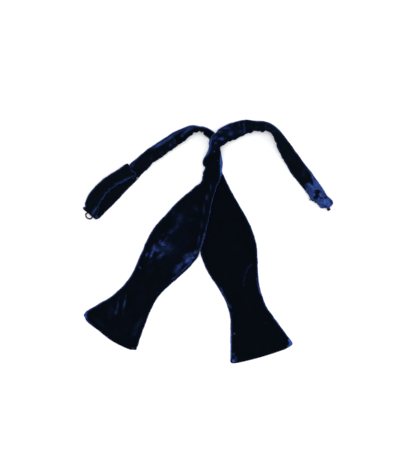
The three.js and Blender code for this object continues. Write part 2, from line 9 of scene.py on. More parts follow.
import bpy
import numpy as np
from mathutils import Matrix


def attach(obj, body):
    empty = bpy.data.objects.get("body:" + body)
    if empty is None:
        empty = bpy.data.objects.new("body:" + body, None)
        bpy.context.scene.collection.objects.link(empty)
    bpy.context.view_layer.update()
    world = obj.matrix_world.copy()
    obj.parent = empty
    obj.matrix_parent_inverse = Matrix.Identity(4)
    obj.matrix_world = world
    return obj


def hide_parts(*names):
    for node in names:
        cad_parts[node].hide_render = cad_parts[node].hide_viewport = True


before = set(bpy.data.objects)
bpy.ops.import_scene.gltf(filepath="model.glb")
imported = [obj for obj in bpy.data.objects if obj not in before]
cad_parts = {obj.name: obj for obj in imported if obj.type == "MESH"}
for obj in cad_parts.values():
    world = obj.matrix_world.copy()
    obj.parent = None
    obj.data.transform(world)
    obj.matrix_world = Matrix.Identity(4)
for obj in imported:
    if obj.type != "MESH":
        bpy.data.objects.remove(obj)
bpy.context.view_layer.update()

MM = 0.001

# The photograph: its width in pixels, and the point of the layout that its middle looks at.
IMAGE_WIDTH = 410
MM_PER_PIXEL = 1.0
VIEW_CENTRE = (-3.0, 6.6)
CAMERA_HEIGHT = 1500.0

# Sizes of the cloth.
BLADE_THICK = 2.6
BAND_THICK = 3.2
PRESSED_THICK = 2.6
CROWN = 0.4
PRESSED_CROWN = 0.1
PRESSED_PLACES = ("under the fold", "over the fold", "return", "free end")
UPPER_END_BOW = 3.8
LOWER_END_BOW = 1.4
DRAPE_GAP = 0.55
DRAPE_REACH = 16.0
DRAPE_INSET = 2.0
DRAPE_LENGTH = 200.0
DRAPE_POINTS = 60
BOW_REACH = 45.0
CROSSING_GAP = 0.75
RAISE_REACH = 12.4
SEAM_ALLOWANCE = 6.5
PILE = 0.32
RETURN_SLANT = 1.3
RETURN_SLANT_REACH = 12.0
FLAT_CURL = 0.5

# Sizes of the metal.
WIRE_DIAMETER = 1.0
WIRE_SHOWN = 1.45
WIRE_CLEARANCE = 0.4
WIRE_OFF_FLOOR = 0.03
EYE_SPAN = 10.4
EYE_LOOP_WIDTH = 7.6
EYE_LOOP_REACH = 5.0
EYE_NECK = 1.6
EYE_OFFSET = -1.65
HOOK_REACH = 4.3
HOOK_BASE_WIDTH = 6.0
HOOK_BASE_LENGTH = 5.5
HOOK_SPREAD = 1.6
HOOK_TONGUE = 6.5
HOOK_LIFT = 0.06
HOOK_OFFSET = 0.3

# The middle of the outline in the tables' coordinates.
LAYOUT_CENTRE = np.array([0.64, 0.31, 0.0])
UP = np.array([0.0, 0.0, 1.0])

# At a seam each piece thins to this share of its thickness, over this distance.
SEAM_FULL = 0.86
SEAM_DIP = 1.3

# Fineness of the meshes: steps along a strip in millimetres, and points across its top and underside.
BLADE_STEP = 0.66
BAND_STEP = 0.55
BLADE_ACROSS = 104
BAND_ACROSS = 36
UNDER_ACROSS = 24
ARC_POINTS = 9
FOLD_STEPS = 24
ROUND_STEPS = 8
LEAST_FULL = 0.02
HEADING_SPAN = 0.4

SHAPE_COLUMNS = ("place", "from_end", "upper", "lower")
BLADE_SHAPE = (
    ("neck", 184, 7.7, 7.8),
    ("shoulder", 174, 8.4, 10.6),
    ("shoulder", 160, 13.6, 15.2),
    ("shoulder", 144, 19.2, 21.1),
    ("bulge", 127, 23.6, 26.1),
    ("bulge", 111, 25.9, 28),
    ("bulge", 95, 24.2, 26.1),
    ("waist", 79, 20.4, 21.7),
    ("waist", 66, 17.7, 18.7),
    ("waist", 55, 17, 17.9),
    ("waist", 44, 18.3, 18.6),
    ("flare", 30, 21.9, 22.7),
    ("flare", 16, 26.9, 27.4),
    ("flare", 3.2, 31.4, 31.8),
    ("corner", 1.1, 31.2, 31.6),
    ("corner", 0, 29.6, 30),
)

# The rows of each half, from its metal end to its neck: x, y is the middle of what shows from above.
ROW_COLUMNS = ("fold", "x", "y", "width", "lift", "roll", "curl", "thick")
UPPER_ROWS = (
    ("over the fold", 111.6, 44.7, 13.2, 4.9),
    ("over the fold", 107.1, 50, 15.1, 3.8),
    ("over the fold", 102.4, 56.5, 15.4, 1.7),
    ("flat", 97.7, 63, 16, 0.2),
    ("flat", 92.9, 69.3, 15.9),
    ("flat", 88.1, 75.8, 15.6, 0, 5, 5),
    ("flat", 83.7, 82.4, 15.6, 0, 14, 10),
    ("settle", 79.4, 89.1, 15.6, 0, 22, 20),
    ("settle", 75.3, 96.1, 15.6, 0, 40, 25),
    ("turn", 71.5, 103, 15.4, 0, 53, 30),
    ("turn", 66.9, 109.6, 15.4, 0, 62, 30),
    ("pucker", 60.5, 114.1, 15.2, 0, 61, 30),
    ("on edge", 53.9, 115.2, 15.4, 0, 51, 30),
    ("pucker", 48, 115.7, 15, 0.2, 54, 30),
    ("tilt", 43.1, 115.3, 15.2, 0.6, 42, 25),
    ("seam", 37.1, 114.7, 15.2, 1.2, 26, 25),
    ("rise", 31.1, 112.6, 15.6, 2, 16, 30),
    ("rise", 26.7, 110.9, 15.7, 2.8, 10, 35),
    ("rise", 19.7, 108, 15.7, 4.2, 12, 40),
    ("crossing", 13.6, 104.4, 15.5, 5.4, 16, 45),
    ("crossing", 8, 98.9, 15.2, 5.6, 22, 50),
    ("gather", 6.1, 93, 13.4, 5, 40, 50),
    ("gather", 5.9, 88.8, 13.4, 4, 26, 40),
    ("bulge", 4.4, 84.5, 15.2, 2.8, 14, 25),
    ("bulge", 3.5, 80.5, 16.6, 2, 6, 15),
    ("pinch", 4.5, 75, 14.8, 1.2, 12, 15),
    ("neck", 3.8, 70, 15.9, 0.6, 4, 6),
    ("neck", 2.9, 64.5, 16.2, 0.2),
)
UPPER_AXIS = (
    (-0.1, 57.2), (-8.1, 43.1), (-27.2, 7.5), (-44.6, -18.7), (-63.4, -44.7), (-82, -70.8),
    (-92.3, -83.8), (-98, -92.2),
)
UPPER_FOLD = {
    "x": 117.6, "y": 38, "width": 13.2, "return_width": 13.4, "heading": -66, "rise": 1.4,
    "shift": 0.3, "side": -1, "fray": 0, "nub": 0,
}
UPPER_RETURN = (
    ("free end", 107, 49.4, 13.4),
    ("return", 110.3, 46.1, 13.6, 0.3),
    ("return", 113.9, 42.2, 14, 1),
)

LOWER_ROWS = (
    ("under the fold", -106.1, 36.9, 15),
    ("under the fold", -99.1, 43.8, 15),
    ("under the fold", -92.9, 49.9, 15),
    ("under the fold", -87.2, 56.3, 15),
    ("under the fold", -80.4, 62.8, 15),
    ("under the fold", -74.2, 69.6, 15),
    ("flat", -68.3, 75.6, 14.6, 0, -6, 6),
    ("flat", -62.3, 81.1, 15, 0, -16, 15),
    ("pinch", -56.4, 86.2, 14.8, 0, -21, 20),
    ("flat", -49.7, 90.7, 15.4, 0, -23, 25),
    ("settle", -43.2, 95.3, 15.2, 0, -25, 30),
    ("settle", -36.7, 99.5, 15.4, 0, -27, 35),
    ("seam", -32.9, 102.4, 15.2, 0, -31, 40),
    ("rise", -23, 108.3, 15.4, 0, -48, 45),
    ("on edge", -15.8, 111.9, 15.4, 0, -60, 40),
    ("on edge", -9.5, 112.1, 15.2, 0, -72, 25),
    ("on edge", -3.8, 111.5, 14.4, 0, -73, 30),
    ("turn", -0.1, 109, 11, 0, -58, 40, 4.4),
    ("bunched", 4.2, 105.5, 8.3, 0, -25, 20, 5),
    ("bunched", 7.2, 99, 10.2, 0, -12, 40, 4.6),
    ("bunched", 6.7, 92, 10.8, 0, -6, 40, 4.2),
    ("spreading", 7.7, 85, 11.6, 0, 0, 40, 3.8),
    ("spreading", 8.3, 78, 12.8, 0, 0, 30, 3.4),
    ("neck", 7.3, 71.5, 14.4, 0, 0, 15),
)
LOWER_AXIS = (
    (7.4, 66), (10.6, 45.3), (14.8, 21.7), (20.2, -6), (25.4, -25.2), (35.5, -55.5), (45.2, -86),
    (53.4, -111.8),
)
LOWER_FOLD = {
    "x": -114.4, "y": 29, "width": 16, "return_width": 14, "heading": -126, "rise": 0,
    "shift": 2.8, "side": 1, "fray": 1, "nub": 1.6,
}
LOWER_RETURN = (
    ("free end", -76, 71.1, 15, 3),
    ("return", -84.6, 67.2, 12.4, 3),
    ("return", -92, 62.8, 12.1, 3),
    ("return", -99.5, 58.2, 12.2, 3),
    ("return", -105.5, 53.1, 12.2, 3),
    ("return", -110.5, 46.8, 13.6, 3),
    ("return", -114.6, 39.8, 14, 3.3),
)

# The cloth strips, in the order of their random seeds.
CLOTHS = ("left_blade", "left_neckband", "right_blade", "right_neckband")

# Random lines are sums of four waves of these lengths.
WANDER_STRETCHES = (1.0, 1.37, 0.71, 2.1)
WANDER_PEAK = 2.2

# Random blotches in the cloth, in its tone and in its painted sheen. Seeds are one step apart from piece to
# piece.
BLOTCH_COLUMNS = ("size", "stretch", "shift", "seed", "seed_step")
BLOTCHES = {
    "slow wave": (17, 1, 500, 1, 10),
    "fine wave": (5, 1, 500, 2, 10),
    "patchy": (1.9, 1.6, 900, 3, 7),
    "fine": (0.95, 1.5, 900, 4, 7),
    "broad": (6, 1.5, 700, 5, 7),
    # Uneven strength of the painted sheen along rounded edges.
    "uneven_sheen": (3.3, 1, 300, 77, 0),
    "worn fine": (1.2, 1, 300, 78, 0),
}
BLOTCH_CELLS = 64

# Slow and fine waves in the cloth, and the ridge over its turned-in seam, which shows in wide cloth.
SLOW_WAVE = 0.16
FINE_WAVE = 0.07
PRESSED_CALM = 0.55
RIDGE_HEIGHT = 0.1
RIDGE_SPREAD = 1.1
RIDGE_WIDTHS = (14, 20)

# Slow and fine waves in the line of the left edge (1) and the right edge (-1), by their lengths.
EDGE_WAVES = ((1, 13, 5), (-1, 15, 6))
EDGE_SEEDS = {"": 5, " return": 45}
SLOW_EDGE = 0.13
FINE_EDGE = 0.07

# The free end at the left frays along its inner edge and its last millimetres, where the painted sheen on its
# rim is weaker.
FRAY = 0.3
FRAY_WAVES = ((5.5, 53), (2.6, 54))
FRAYED_END = 3.5
FRAYED_DULL = 0.8

# Gathers in the cloth: waves that run in from one edge. side is 1 at the left.
GATHER_COLUMNS = ("x", "y", "spread", "side", "pitch", "depth", "reach")
GATHERS = {
    "left_neckband": ((-50, 88, 22, -1, 9, 0.25, 5),),
    "left_blade": ((4, 80, 12, -1, 10, 0.45, 5), (22, 104, 12, 1, 8, 0.35, 6)),
    "right_neckband": ((50, 112, 14, 1, 7, 0.5, 6), (75, 94, 14, 1, 9, 0.35, 5)),
    "right_blade": ((-8, 110, 12, -1, 6.5, 0.6, 6),),
}
GATHER_DRIFT = 1.5
GATHER_DRIFT_LENGTH = 19
GATHER_SEED = 5

# Places where the edge of a layer is pushed out or pinched in, in millimetres: side is 1 at its left.
PUSH_COLUMNS = ("x", "y", "spread", "side", "out")
PUSHES = {
    "right_neckband": (
        (50, 111, 6, 1, 0.7), (70.5, 92.1, 3, 1, 0.7), (118.3, 46, 2.2, -1, -0.9), (104.2, 41.6, 2.4, 1, 1.4),
        (83.8, 68.1, 3, 1, 0.7), (66, 102, 6, 1, 0.7), (41, 108.6, 3, 1, 0.6), (52, 109.6, 3, 1, 0.6),
    ),
    "left_blade": (
        (26, 102.4, 8, 1, 0.9), (7.5, 108.7, 2, -1, -1), (-0.7, 88.1, 2, -1, -1), (-3.3, 83.4, 2, -1, -0.5),
        (-4.2, 78.4, 2.2, -1, 0.8), (-4.8, 65, 1.3, -1, 0.7), (-6, 60.8, 1.3, -1, -0.5),
        (1.8, 101, 1.6, -1, -0.6), (-5.3, 63.1, 3, -1, -0.7), (-7.5, 58.3, 1.6, -1, -0.7),
        (-11.5, 55, 2.2, -1, 0.7), (-30, 39.6, 7, -1, 0.6), (-100, -57.5, 9, -1, -0.6),
        (-70, -99, 5, 1, -0.8), (6, 49, 8, 1, 1.5), (-1.5, 11, 9, 1, -1.1), (10.8, 80, 12, 1, 0.6),
        (-8, -7.5, 3, 1, -0.4), (-10.8, -14.6, 3, 1, 0.6), (-69.5, -20, 6, -1, 0.7),
        (-115.5, -66.6, 4, -1, 0.6), (16, 115, 5, -1, 0.7), (-121, -69.6, 2.5, -1, 0.7),
        (-71.4, -107.5, 2.5, 1, -1),
    ),
    "right_blade": (
        (-12.5, 116, 5, 1, 0.6), (-2.8, 114, 2.6, 1, 0.8), (-6, 108.8, 2, -1, 0.8),
        (-11.6, 109.2, 2, -1, -0.5), (-0.5, 104.6, 2, -1, 0.7), (82.1, -98.9, 3, 1, 0.7),
        (-25, 100.3, 7, -1, 0.7), (13.4, 71, 3, 1, -0.9), (23.6, -113, 4, -1, -0.6),
    ),
    "left_neckband": (
        (-98.5, 33.9, 4, -1, 0.4), (-75.5, 77.8, 4, 1, 0.4), (-60.5, 71.9, 1.8, -1, 0.5),
        (-54.5, 78.9, 1.5, -1, -0.5), (-49.5, 81.7, 1.6, -1, 0.5), (-65.5, 67.4, 2, -1, -0.4),
    ),
    "left_neckband return": ((-82.5, 76.3, 3, 1, 0.8), (-96, 67, 2, 1, 0.5), (-90.5, 71.1, 3, 1, 0.6)),
    "right_neckband return": ((118.5, 45.5, 2.5, -1, -0.9),),
}
PUSH_NEAR = 5.0

# How the end of each blade is stretched and slanted.
END_COLUMNS = ("push", "slant")
ENDS = {"left_blade": (0.4, -0.3), "right_blade": (1.2, 0.5)}
END_REACH = 14.0

# The line of each end of a blade or a band, free or folded: how far out it is, from its left edge (1) to
# its right edge (-1).
LINE_COLUMNS = ("across", "out")
LINES = {
    "right_neckband fold": ((1, -1), (0.55, -0.2), (0, 1.4), (-0.45, 1.1), (-0.8, 0.5), (-1, 0)),
    "left_neckband fold": ((1, 0), (0.3, 0.2), (-0.2, 0.7), (-1, 0.9)),
    "left_neckband return": (
        (1, 0.7), (0.85, 0.8), (0.5, 0.3), (0.1, -0.3), (-0.25, 0.8), (-0.57, 1.5), (-1, 0.2),
    ),
    "right_neckband return": ((1, 0),),
    "left_blade end": (
        (1, -0.5), (0.93, 0.5), (0.8, 0.6), (0.2, 0.5), (-0.4, -0.5), (-0.85, 0.8), (-0.94, 0.9), (-1, -0.1),
    ),
    "right_blade end": ((1, 0.1), (0.8, 0.8), (0.3, 0.6), (-0.9, 0.4), (-1, 0.2)),
}
LINE_REACH = 9.0
TURN_REACH = 8.0
SMOOTH_REACH = 6.0

# The nub at the outer corner of a fold: where round the turn it is, and how far it spreads.
NUB_AT = 0.3
NUB_SPREAD = 0.15

# Painted sheen, stronger or fainter, where the pile is brushed: soft ellipses about x, y, long by wide,
# turned from +X.
MARK_COLUMNS = ("x", "y", "long", "wide", "turn", "soft", "tone")
PAINTED_SHEEN_MARKS = {
    "left_blade": (
        (-50.4, -8.6, 3, 2.4, 0, 0.9, 0.62), (-53.8, -6.4, 4.8, 2.9, 84, 0.9, 0.8),
        (-55.2, -11, 3, 1.7, 60, 1, 0.74), (-56.8, -14, 2.9, 1.8, 60, 0.9, 0.84),
        (-45.6, -2.5, 5, 3, -50, 0.8, 0.76), (-40, -6, 7.5, 6, -40, 1, 0.42),
        (-46.6, -13.4, 6, 2, 42, 0.8, 0.6), (-46, -8, 6, 4, 0, 1, 0.36), (-32, -8, 26, 16, 56, 1, 0.13),
        (-24, 26, 22, 12, 56, 1, 0.12), (-61.2, -13, 2.8, 1.5, 58, 0.8, 0.62),
        (-58.6, -20, 4, 1.2, 50, 1, 0.22), (-42, 2.4, 4, 1.8, 50, 1, 0.3), (-28, 22.8, 6, 4, 80, 1, 0.34),
        (-34.6, 28.6, 3, 1.8, 60, 1, 0.28), (-31.4, 14.4, 4, 2.4, 45, 1, 0.37),
        (-37, 9.8, 4.6, 2.4, 40, 1, 0.4), (-45, 7, 2.8, 1.7, 20, 1, 0.22), (-17.6, 21.6, 6, 2.4, 10, 1, 0.18),
        (-12, 32.6, 4.4, 2.4, -50, 1, 0.28), (-4.2, 32, 6, 1.5, 88, 0.8, 0.39),
        (-6.6, 15.8, 4.6, 1.4, 84, 0.9, 0.33), (-9, 3.4, 7, 1.5, 80, 0.9, 0.44),
        (-1.4, 44, 3.6, 2, 88, 0.7, 0.4), (2.6, 54, 4.4, 1.2, 86, 0.8, 0.38),
        (-18.6, -17.2, 7, 4, 48, 0.8, 0.72), (-20.6, -19.4, 3.2, 2.2, 50, 1, 0.8),
        (-15, -16.2, 2, 1.6, 45, 0.9, 0.9), (-13, -11.2, 3.4, 2, 40, 0.7, 0.66),
        (-20.4, -13.8, 5, 2.2, 14, 0.8, 0.62), (-28.8, -25.2, 7.6, 2.9, 47, 0.7, 0.62),
        (-31.8, -30, 2.6, 3, 60, 0.8, 0.44), (-68, -26, 2.4, 1.1, -52, 0.8, 0.6),
        (-57, -29, 6, 4, 50, 1, 0.15), (-51, -51, 2.4, 1.6, 0, 1, 0.22),
        (-91.7, -70.4, 2.8, 1.8, 66, 1, 0.62), (-83.4, -62, 4.2, 1.1, 78, 1, 0.86),
        (-90, -63.4, 2.4, 1.2, 84, 1, 0.52), (-97.6, -70, 8, 2.4, 84, 1, 0.22),
        (-95.6, -68, 4, 1.6, 10, 1, 0.22), (-88.6, -56, 5, 2, 60, 1, 0.17),
        (-73, -92.2, 1.8, 1.6, 0, 1, 0.36), (-74.4, -106.4, 3, 1.2, -8, 0.9, 0.4),
        (-108, -81.4, 12, 3, -45, 1, 0.17), (-70, -83.4, 13, 3, 62, 1, 0.26), (-57, -20, 5, 1.4, 50, 1, 0.2),
        (5.6, 104.8, 4, 4, 0, 0.7, 0.56), (24, 109, 17, 6.5, 22, 0.8, 0.19),
        (11, 109.3, 3.2, 2.2, 0, 0.7, 0.58), (17.6, 113, 4.8, 2, 4, 0.7, 0.58),
        (13.2, 101.9, 3.8, 2.1, 0, 0.7, 0.64), (7.4, 98, 2.2, 1.7, 0, 0.8, 0.5),
        (5.6, 95.6, 4, 4.6, 0, 1, 0.22), (22.7, 107.4, 2.8, 2.8, 0, 0.8, 0.54),
        (24, 115.6, 2.4, 1.6, 30, 1, 0.3), (31, 116.4, 2.6, 1.4, 85, 0.8, 0.36),
        (32.6, 109.2, 2.4, 2, 0, 0.8, 0.48), (36, 109.6, 2.6, 1.6, 60, 0.8, 0.46), (4, 90, 4, 3, 50, 1, 0.24),
    ),
    "right_blade": (
        (25.2, -119, 2.9, 2, 0, 0.8, 1.15), (27.4, -117, 3, 2.4, 40, 1, 0.46),
        (25.5, -112.4, 1.7, 1.9, 0, 0.8, 0.52), (25.2, -91.8, 2, 2.4, 0, 1, 0.32),
        (22.4, -64.8, 3.4, 1.5, -62, 0.9, 0.52), (24.4, -72, 2.2, 1.4, 0, 1, 0.24),
        (57.6, -81, 1.4, 1, 20, 1, 0.26), (-12.5, 115.2, 4, 1.4, 0, 0.8, 0.62),
    ),
    "left_neckband": (
        (-37.5, 96.1, 2.5, 2, 40, 0.8, 0.44), (-46.5, 88.6, 3, 1.9, 30, 1, 0.3),
        (-56.5, 83.1, 3.4, 1.2, 80, 1, 0.26), (-75.5, 75.8, 3.4, 2.2, 45, 0.9, 0.44),
        (-38, 103.4, 4, 1.8, 38, 0.9, 0.74), (-44.6, 99, 4, 1.6, 36, 0.9, 0.68),
        (-124.4, 33.5, 1.5, 1.7, 0, 0.5, 0.85),
    ),
    "right_neckband": (
        (96, 71, 6, 2, 72, 1, 0.22), (95, 66, 3, 2, 60, 1, 0.24), (57.6, 115, 3, 1.2, 84, 0.8, 0.36),
        (47.6, 113, 3.4, 1.1, 40, 1, 0.26), (65, 109.6, 3.4, 2, 30, 1, 0.26),
        (60.4, 112.4, 1.6, 1.2, 0, 1, 0.3),
    ),
}

# Painted sheen, strong or faint, along a line where the pile or a steep flank catches the light.
STREAK_COLUMNS = ("tone", "wide", "path")
PAINTED_SHEEN_STREAKS = {
    "left_neckband": (
        (0.6, 2.3, ((-31, 108.4), (-34.5, 106.4), (-39.5, 102.6), (-45.5, 98.6), (-51, 95.6))),
        (0.44, 2, ((-51, 95.6), (-56, 93))),
        (0.42, 1.2, ((-57.5, 93.6), (-64.5, 88.9), (-70.5, 82.9), (-76.5, 77.4))),
        (0.5, 0.9, ((-33.4, 106.6), (-33.1, 98.1))),
        (0.46, 1, ((-72.5, 65.6), (-76.5, 64.6), (-80.5, 62.6), (-83.5, 61.6))),
        (0.48, 1.3, ((-81.5, 61.6), (-85.5, 59.6), (-89.5, 58.1), (-92, 57.1))),
        (0.4, 0.8, ((-92, 56.6), (-93, 55.1), (-96, 53.6), (-99, 52.1))),
        (0.5, 0.85, ((-98.5, 52.1), (-99, 50.1), (-102, 48.6), (-103, 46.1), (-104.5, 43.6), (-106.5, 41.6))),
        (0.38, 0.8, ((-106.5, 41.6), (-108.5, 38.1), (-110, 34.6))),
        (0.46, 1.7, ((-111.2, 33.6), (-113.3, 30.6), (-115, 27.6))),
        (0.33, 0.7, ((-79, 75.6), (-77, 73.1), (-76, 70.6))),
        (0.46, 0.7, ((-76, 70.3), (-74, 69.5), (-72.4, 68.6), (-72.2, 65.1))),
        (0.5, 1, ((-111, 26.1), (-110, 23.6))),
    ),
    "right_blade": (
        (0.46, 1.1, (
            (-35, 107), (-31.5, 109.1), (-24.5, 113.1), (-17.5, 115.6), (-10.5, 116.1), (-4.5, 115.1),
        )),
        (0.4, 1, ((-4.5, 115.1), (0.5, 113.6), (4.5, 109.6))),
        (0.44, 1.9, ((-35, 105.8), (-31.5, 108), (-26.5, 111), (-20.5, 113.4), (-14.5, 115.1))),
        (0.56, 1.8, ((-26, 105.1), (-23.5, 108.1), (-19.5, 111.1), (-16, 113.1))),
        (1.3, 1.1, ((12.6, 92), (12.8, 86), (13, 80), (13, 74), (12.9, 70), (12.5, 66))),
        (0.4, 1, ((48.6, -36), (49.6, -42))),
        (0.26, 1, ((43.5, -22.5), (39.5, -27), (37, -33), (35.9, -39), (35.3, -44))),
        (0.7, 1.05, ((50.2, -42.6), (50.8, -46), (51.5, -49), (52.4, -52))),
        (0.56, 0.75, ((12.6, -46), (15.6, -53), (19, -60), (21.2, -65))),
        (0.62, 0.7, ((22.3, -71), (23.1, -77), (23.5, -84), (23.3, -91))),
        (0.86, 0.8, ((23.2, -92), (23, -104), (23.2, -116))),
        (1.1, 1.9, ((81.4, -98.2), (82.6, -100.6), (82.4, -103.2), (80.6, -105.4))),
    ),
    "left_blade": (
        (0.84, 2.1, ((2.6, 102.6), (1.8, 98), (1, 93), (-0.6, 88.4), (-3, 85))),
        (0.5, 1, ((35.6, 118), (36.4, 113), (36.3, 107.8))), (0.26, 0.8, ((-81.6, -52.6), (-82.6, -58))),
        (0.5, 0.8, ((-82.8, -58.4), (-83.6, -62.6), (-84.8, -67.4))),
        (0.18, 0.9, ((-84.8, -68), (-84.4, -76))),
        (0.4, 0.9, ((-89.8, -60.4), (-90.4, -65.6), (-91.4, -69.6), (-92.4, -72))),
        (0.95, 2.1, ((-122, -70.8), (-123, -73.2), (-122.4, -76))),
        (0.55, 1.3, ((-121.4, -78), (-117.6, -82.2), (-112.6, -87), (-107, -91.4))),
        (0.56, 0.9, ((-16.5, -19.9), (-21.3, -24.9), (-25.5, -28.9))),
        (0.52, 1.1, ((-3.7, 8), (-4.7, 3), (-6.2, -2.9), (-7.4, -6), (-9.2, -8.9), (-11.5, -10.9))),
        (0.42, 1, ((-25.5, -28.9), (-31.5, -34.6), (-35.5, -37.6))),
    ),
    "right_neckband": ((0.62, 1.3, ((99.5, 73.1), (104, 66.6), (108, 60.4), (113, 53))),),
}
STREAK_EDGE = (0.3, 1.35)
STREAK_RAGGED = 0.5

# Painted light all over inside an outline, where the cloth near the hook tilts towards the light.
PATCH_COLUMNS = ("tone", "soft", "outline")
PAINTED_LIGHT_PATCHES = {
    "right_neckband": (
        (0.88, 0.9, (
            (102.4, 69), (103.2, 64.1), (105, 60.1), (105.2, 56), (103, 57), (101.5, 58.6), (99.2, 58.3),
            (97.2, 56.4), (98.2, 53), (92.5, 49), (112.5, 26), (132.5, 36), (108, 74),
        )),
    ),
}

# Painted shade about the stitches that hold the hook, where they dent the cloth, and in other dark places,
# with two painted highlights, drawn last.
PAINTED_SHADE_AND_HIGHLIGHT_MARKS = {
    "right_neckband": (
        (100.8, 52.6, 4.6, 3.3, -55, 0.8, 0.6), (102.8, 49.4, 4.6, 2.7, -60, 0.7, 0.62),
        (115, 46.4, 4.8, 2.5, -20, 0.7, 0.7), (109, 41.1, 5.6, 1.7, -5, 0.7, 0.68),
        (113.3, 36.6, 2.8, 1.7, -40, 0.7, 0.7), (98, 55.6, 2.4, 2, 0, 0.8, 0.36),
        (100, 48.6, 5.6, 1, -61, 0.6, 0.52), (107.5, 38.9, 6.4, 1, -40, 0.6, 0.54),
        (116, 34.4, 4.2, 1.3, 0, 0.6, 0.6), (109, 49.5, 3.9, 2.6, 0, 0.45, 0.14),
        (106.9, 49.6, 1, 1, 0, 0.6, 0.5), (108.4, 46.2, 3, 3.2, 0, 0.45, 0.17),
        (107.2, 43.8, 3, 2, 0, 0.45, 0.16), (112.7, 43.2, 2.3, 1.3, 0, 0.5, 0.42),
        (116.9, 43.8, 1.8, 1.2, 0, 0.5, 0.34), (115.5, 48.1, 1.6, 1.2, 0, 0.5, 0.56),
        (116.2, 35.1, 1.8, 1.2, 0, 0.5, 0.44), (122.2, 39.3, 2.6, 0.9, -68, 0.5, 0.36),
        (106.5, 62.1, 1.2, 1, 0, 0.6, 0.45), (116.2, 39.4, 1.3, 2.6, 0, 0.8, 1.16),
        (105.6, 46.6, 1.3, 1.5, 0, 0.8, 1.02),
    ),
    "left_neckband": ((-110, 30.4, 3.6, 1.3, 80, 0.6, 0.1), (-38.6, 98.4, 5, 1.3, 36, 0.9, 0.14)),
    "left_blade": (
        (9.6, 77, 17, 1.4, 90, 0.5, 0.06), (10.6, 106.4, 4.2, 0.9, 8, 0.8, 0.12),
        (20, 100.4, 7, 1.6, 22, 0.9, 0.14), (27.6, 111, 2.4, 2.4, 0, 1, 0.16),
        (17.6, 108.6, 1.7, 2, 40, 0.9, 0.2),
    ),
    "right_blade": ((-29.4, 102.4, 1.6, 3, -20, 0.9, 0.1),),
}
DARK_RAGGED = 0.4

# The edge of a mark: how ragged and how far out it is for its softness, and how big a mark is fully ragged.
SOFT_RAGGED = 1.6
SOFT_SPILL = 0.4
SMALL_MARK = 6.0

# How strongly a coarse and a fine sort of blotches tell in each use.
BLENDS = {
    "ragged": (0.5, 0.42), "mark": (0.4, 0.34), "patch": (0.17, 0.12),
    "base": (0.5, 0.4), "rim": (0.3, 0.25),
}
BASE_TONES = {"left_blade": 0.06, "right_blade": 0.04, "left_neckband": 0.06, "right_neckband": 0.06}
# How much painted sheen the rounded edges of each piece take, as a tone.
RIM_TONES = {"left_blade": 0.92, "right_blade": 0.92, "left_neckband": 0.82, "right_neckband": 0.82}

# Edges that face this side get a little more painted sheen than the others, as if lit from it.
RIM_SIDE = (-0.1, 1.0)
RIM_EVEN = 0.69
RIM_WIDTH = 1.3

# Further than anything reaches.
FAR = 1000.0

# Stitches of dark thread that hold the hook, from point to point over the cloth.
THREAD_DIAMETER = 0.62
STITCH_LIFT = 0.22
STITCH_NEAR = 0.8
STITCHES = (
    ((106.6, 50.3), (108.8, 51.3), (111.6, 50.6)),
    ((107, 48.8), (109.6, 50.2), (112, 49)),
    ((110.9, 50.8), (109.8, 48.2), (108.3, 45.4)),
    ((108.4, 48.6), (109.4, 46.6), (109.2, 44)),
    ((105.4, 43.3), (107.6, 44.2), (109.8, 43.4)),
    ((106.2, 44.8), (107.8, 43.2), (108.6, 42.2)),
    ((109.9, 43.9), (112, 43.4), (114.4, 42.4)),
    ((115.8, 44.1), (117, 44.2), (118.2, 43.3)),
)

# Lint on the pile, as short fibres.
LINT = (
    ((6.2, 88.7), (6.4, 89.2), (6.6, 89.6)),
    ((26.3, -92.4), (26.5, -91.8), (26.7, -91.2)),
)

# Tufts of loose fibre at frayed edges: the middle of each, its height, how far it spreads and its fibres.
TUFT_COLUMNS = ("x", "y", "z", "spread", "count")
TUFTS = (
    (102.6, 42.2, 1.7, 1.6, 30),
    (-70.5, 63.3, 3, 1, 24),
    (85.4, 65.2, 1.5, 0.9, 7),
)
FIBRE_DIAMETER = 0.26
FIBRE_BEND = 1.4
FIBRE_PARTS = (0.3, 0.6, 1.0)
FIBRE_RISE = 0.3
FIBRE_STEPS = 2.5
TUFT_CORE = 0.3
TUFT_SEED = 9


def rows_of(columns, table):
    """A table's rows as dictionaries; a row may leave out its last columns."""
    return [dict(zip(columns, row)) for row in table]


def smoothstep(low, high, value):
    t = np.clip((value - low) / (high - low), 0, 1)
    return t * t * (3 - 2 * t)


def fade(reach, distance):
    """1 at no distance, down to 0 at the reach."""
    return 1 - smoothstep(0, reach, distance)


def bell(distance, spread):
    return np.exp(-0.5 * (distance / spread) ** 2)


def wander(s, length, seed):
    """A smooth random line along s, from -1 to 1 or so, with waves of about that length."""
    phases = np.random.default_rng(seed).uniform(0, 2 * math.pi, len(WANDER_STRETCHES))
    waves = [
        np.sin(2 * math.pi * s / (length * stretch) + phase)
        for stretch, phase in zip(WANDER_STRETCHES, phases)
    ]
    return sum(waves) / WANDER_PEAK


def blotches(name, piece, along, across):
    """Smooth random blotches over a piece, from -1 to 1, by their row in the table."""
    row = dict(zip(BLOTCH_COLUMNS, BLOTCHES[name]))
    x = (along / row["stretch"] + row["shift"]) / row["size"]
    y = (across + row["shift"]) / row["size"]
    chance = np.random.default_rng(row["seed"] + row["seed_step"] * CLOTHS.index(piece))
    values = chance.uniform(-1, 1, (BLOTCH_CELLS, BLOTCH_CELLS))
    column, line = np.floor(x).astype(int), np.floor(y).astype(int)
    fx, fy = smoothstep(0, 1, x - column), smoothstep(0, 1, y - line)
    a, b, c, d = (
        values[(line + down) % BLOTCH_CELLS, (column + right) % BLOTCH_CELLS]
        for down, right in ((0, 0), (0, 1), (1, 0), (1, 1))
    )
    return a * (1 - fx) * (1 - fy) + b * fx * (1 - fy) + c * (1 - fx) * fy + d * fx * fy


def unit(ways):
    return ways / np.linalg.norm(ways, axis=1)[:, None]


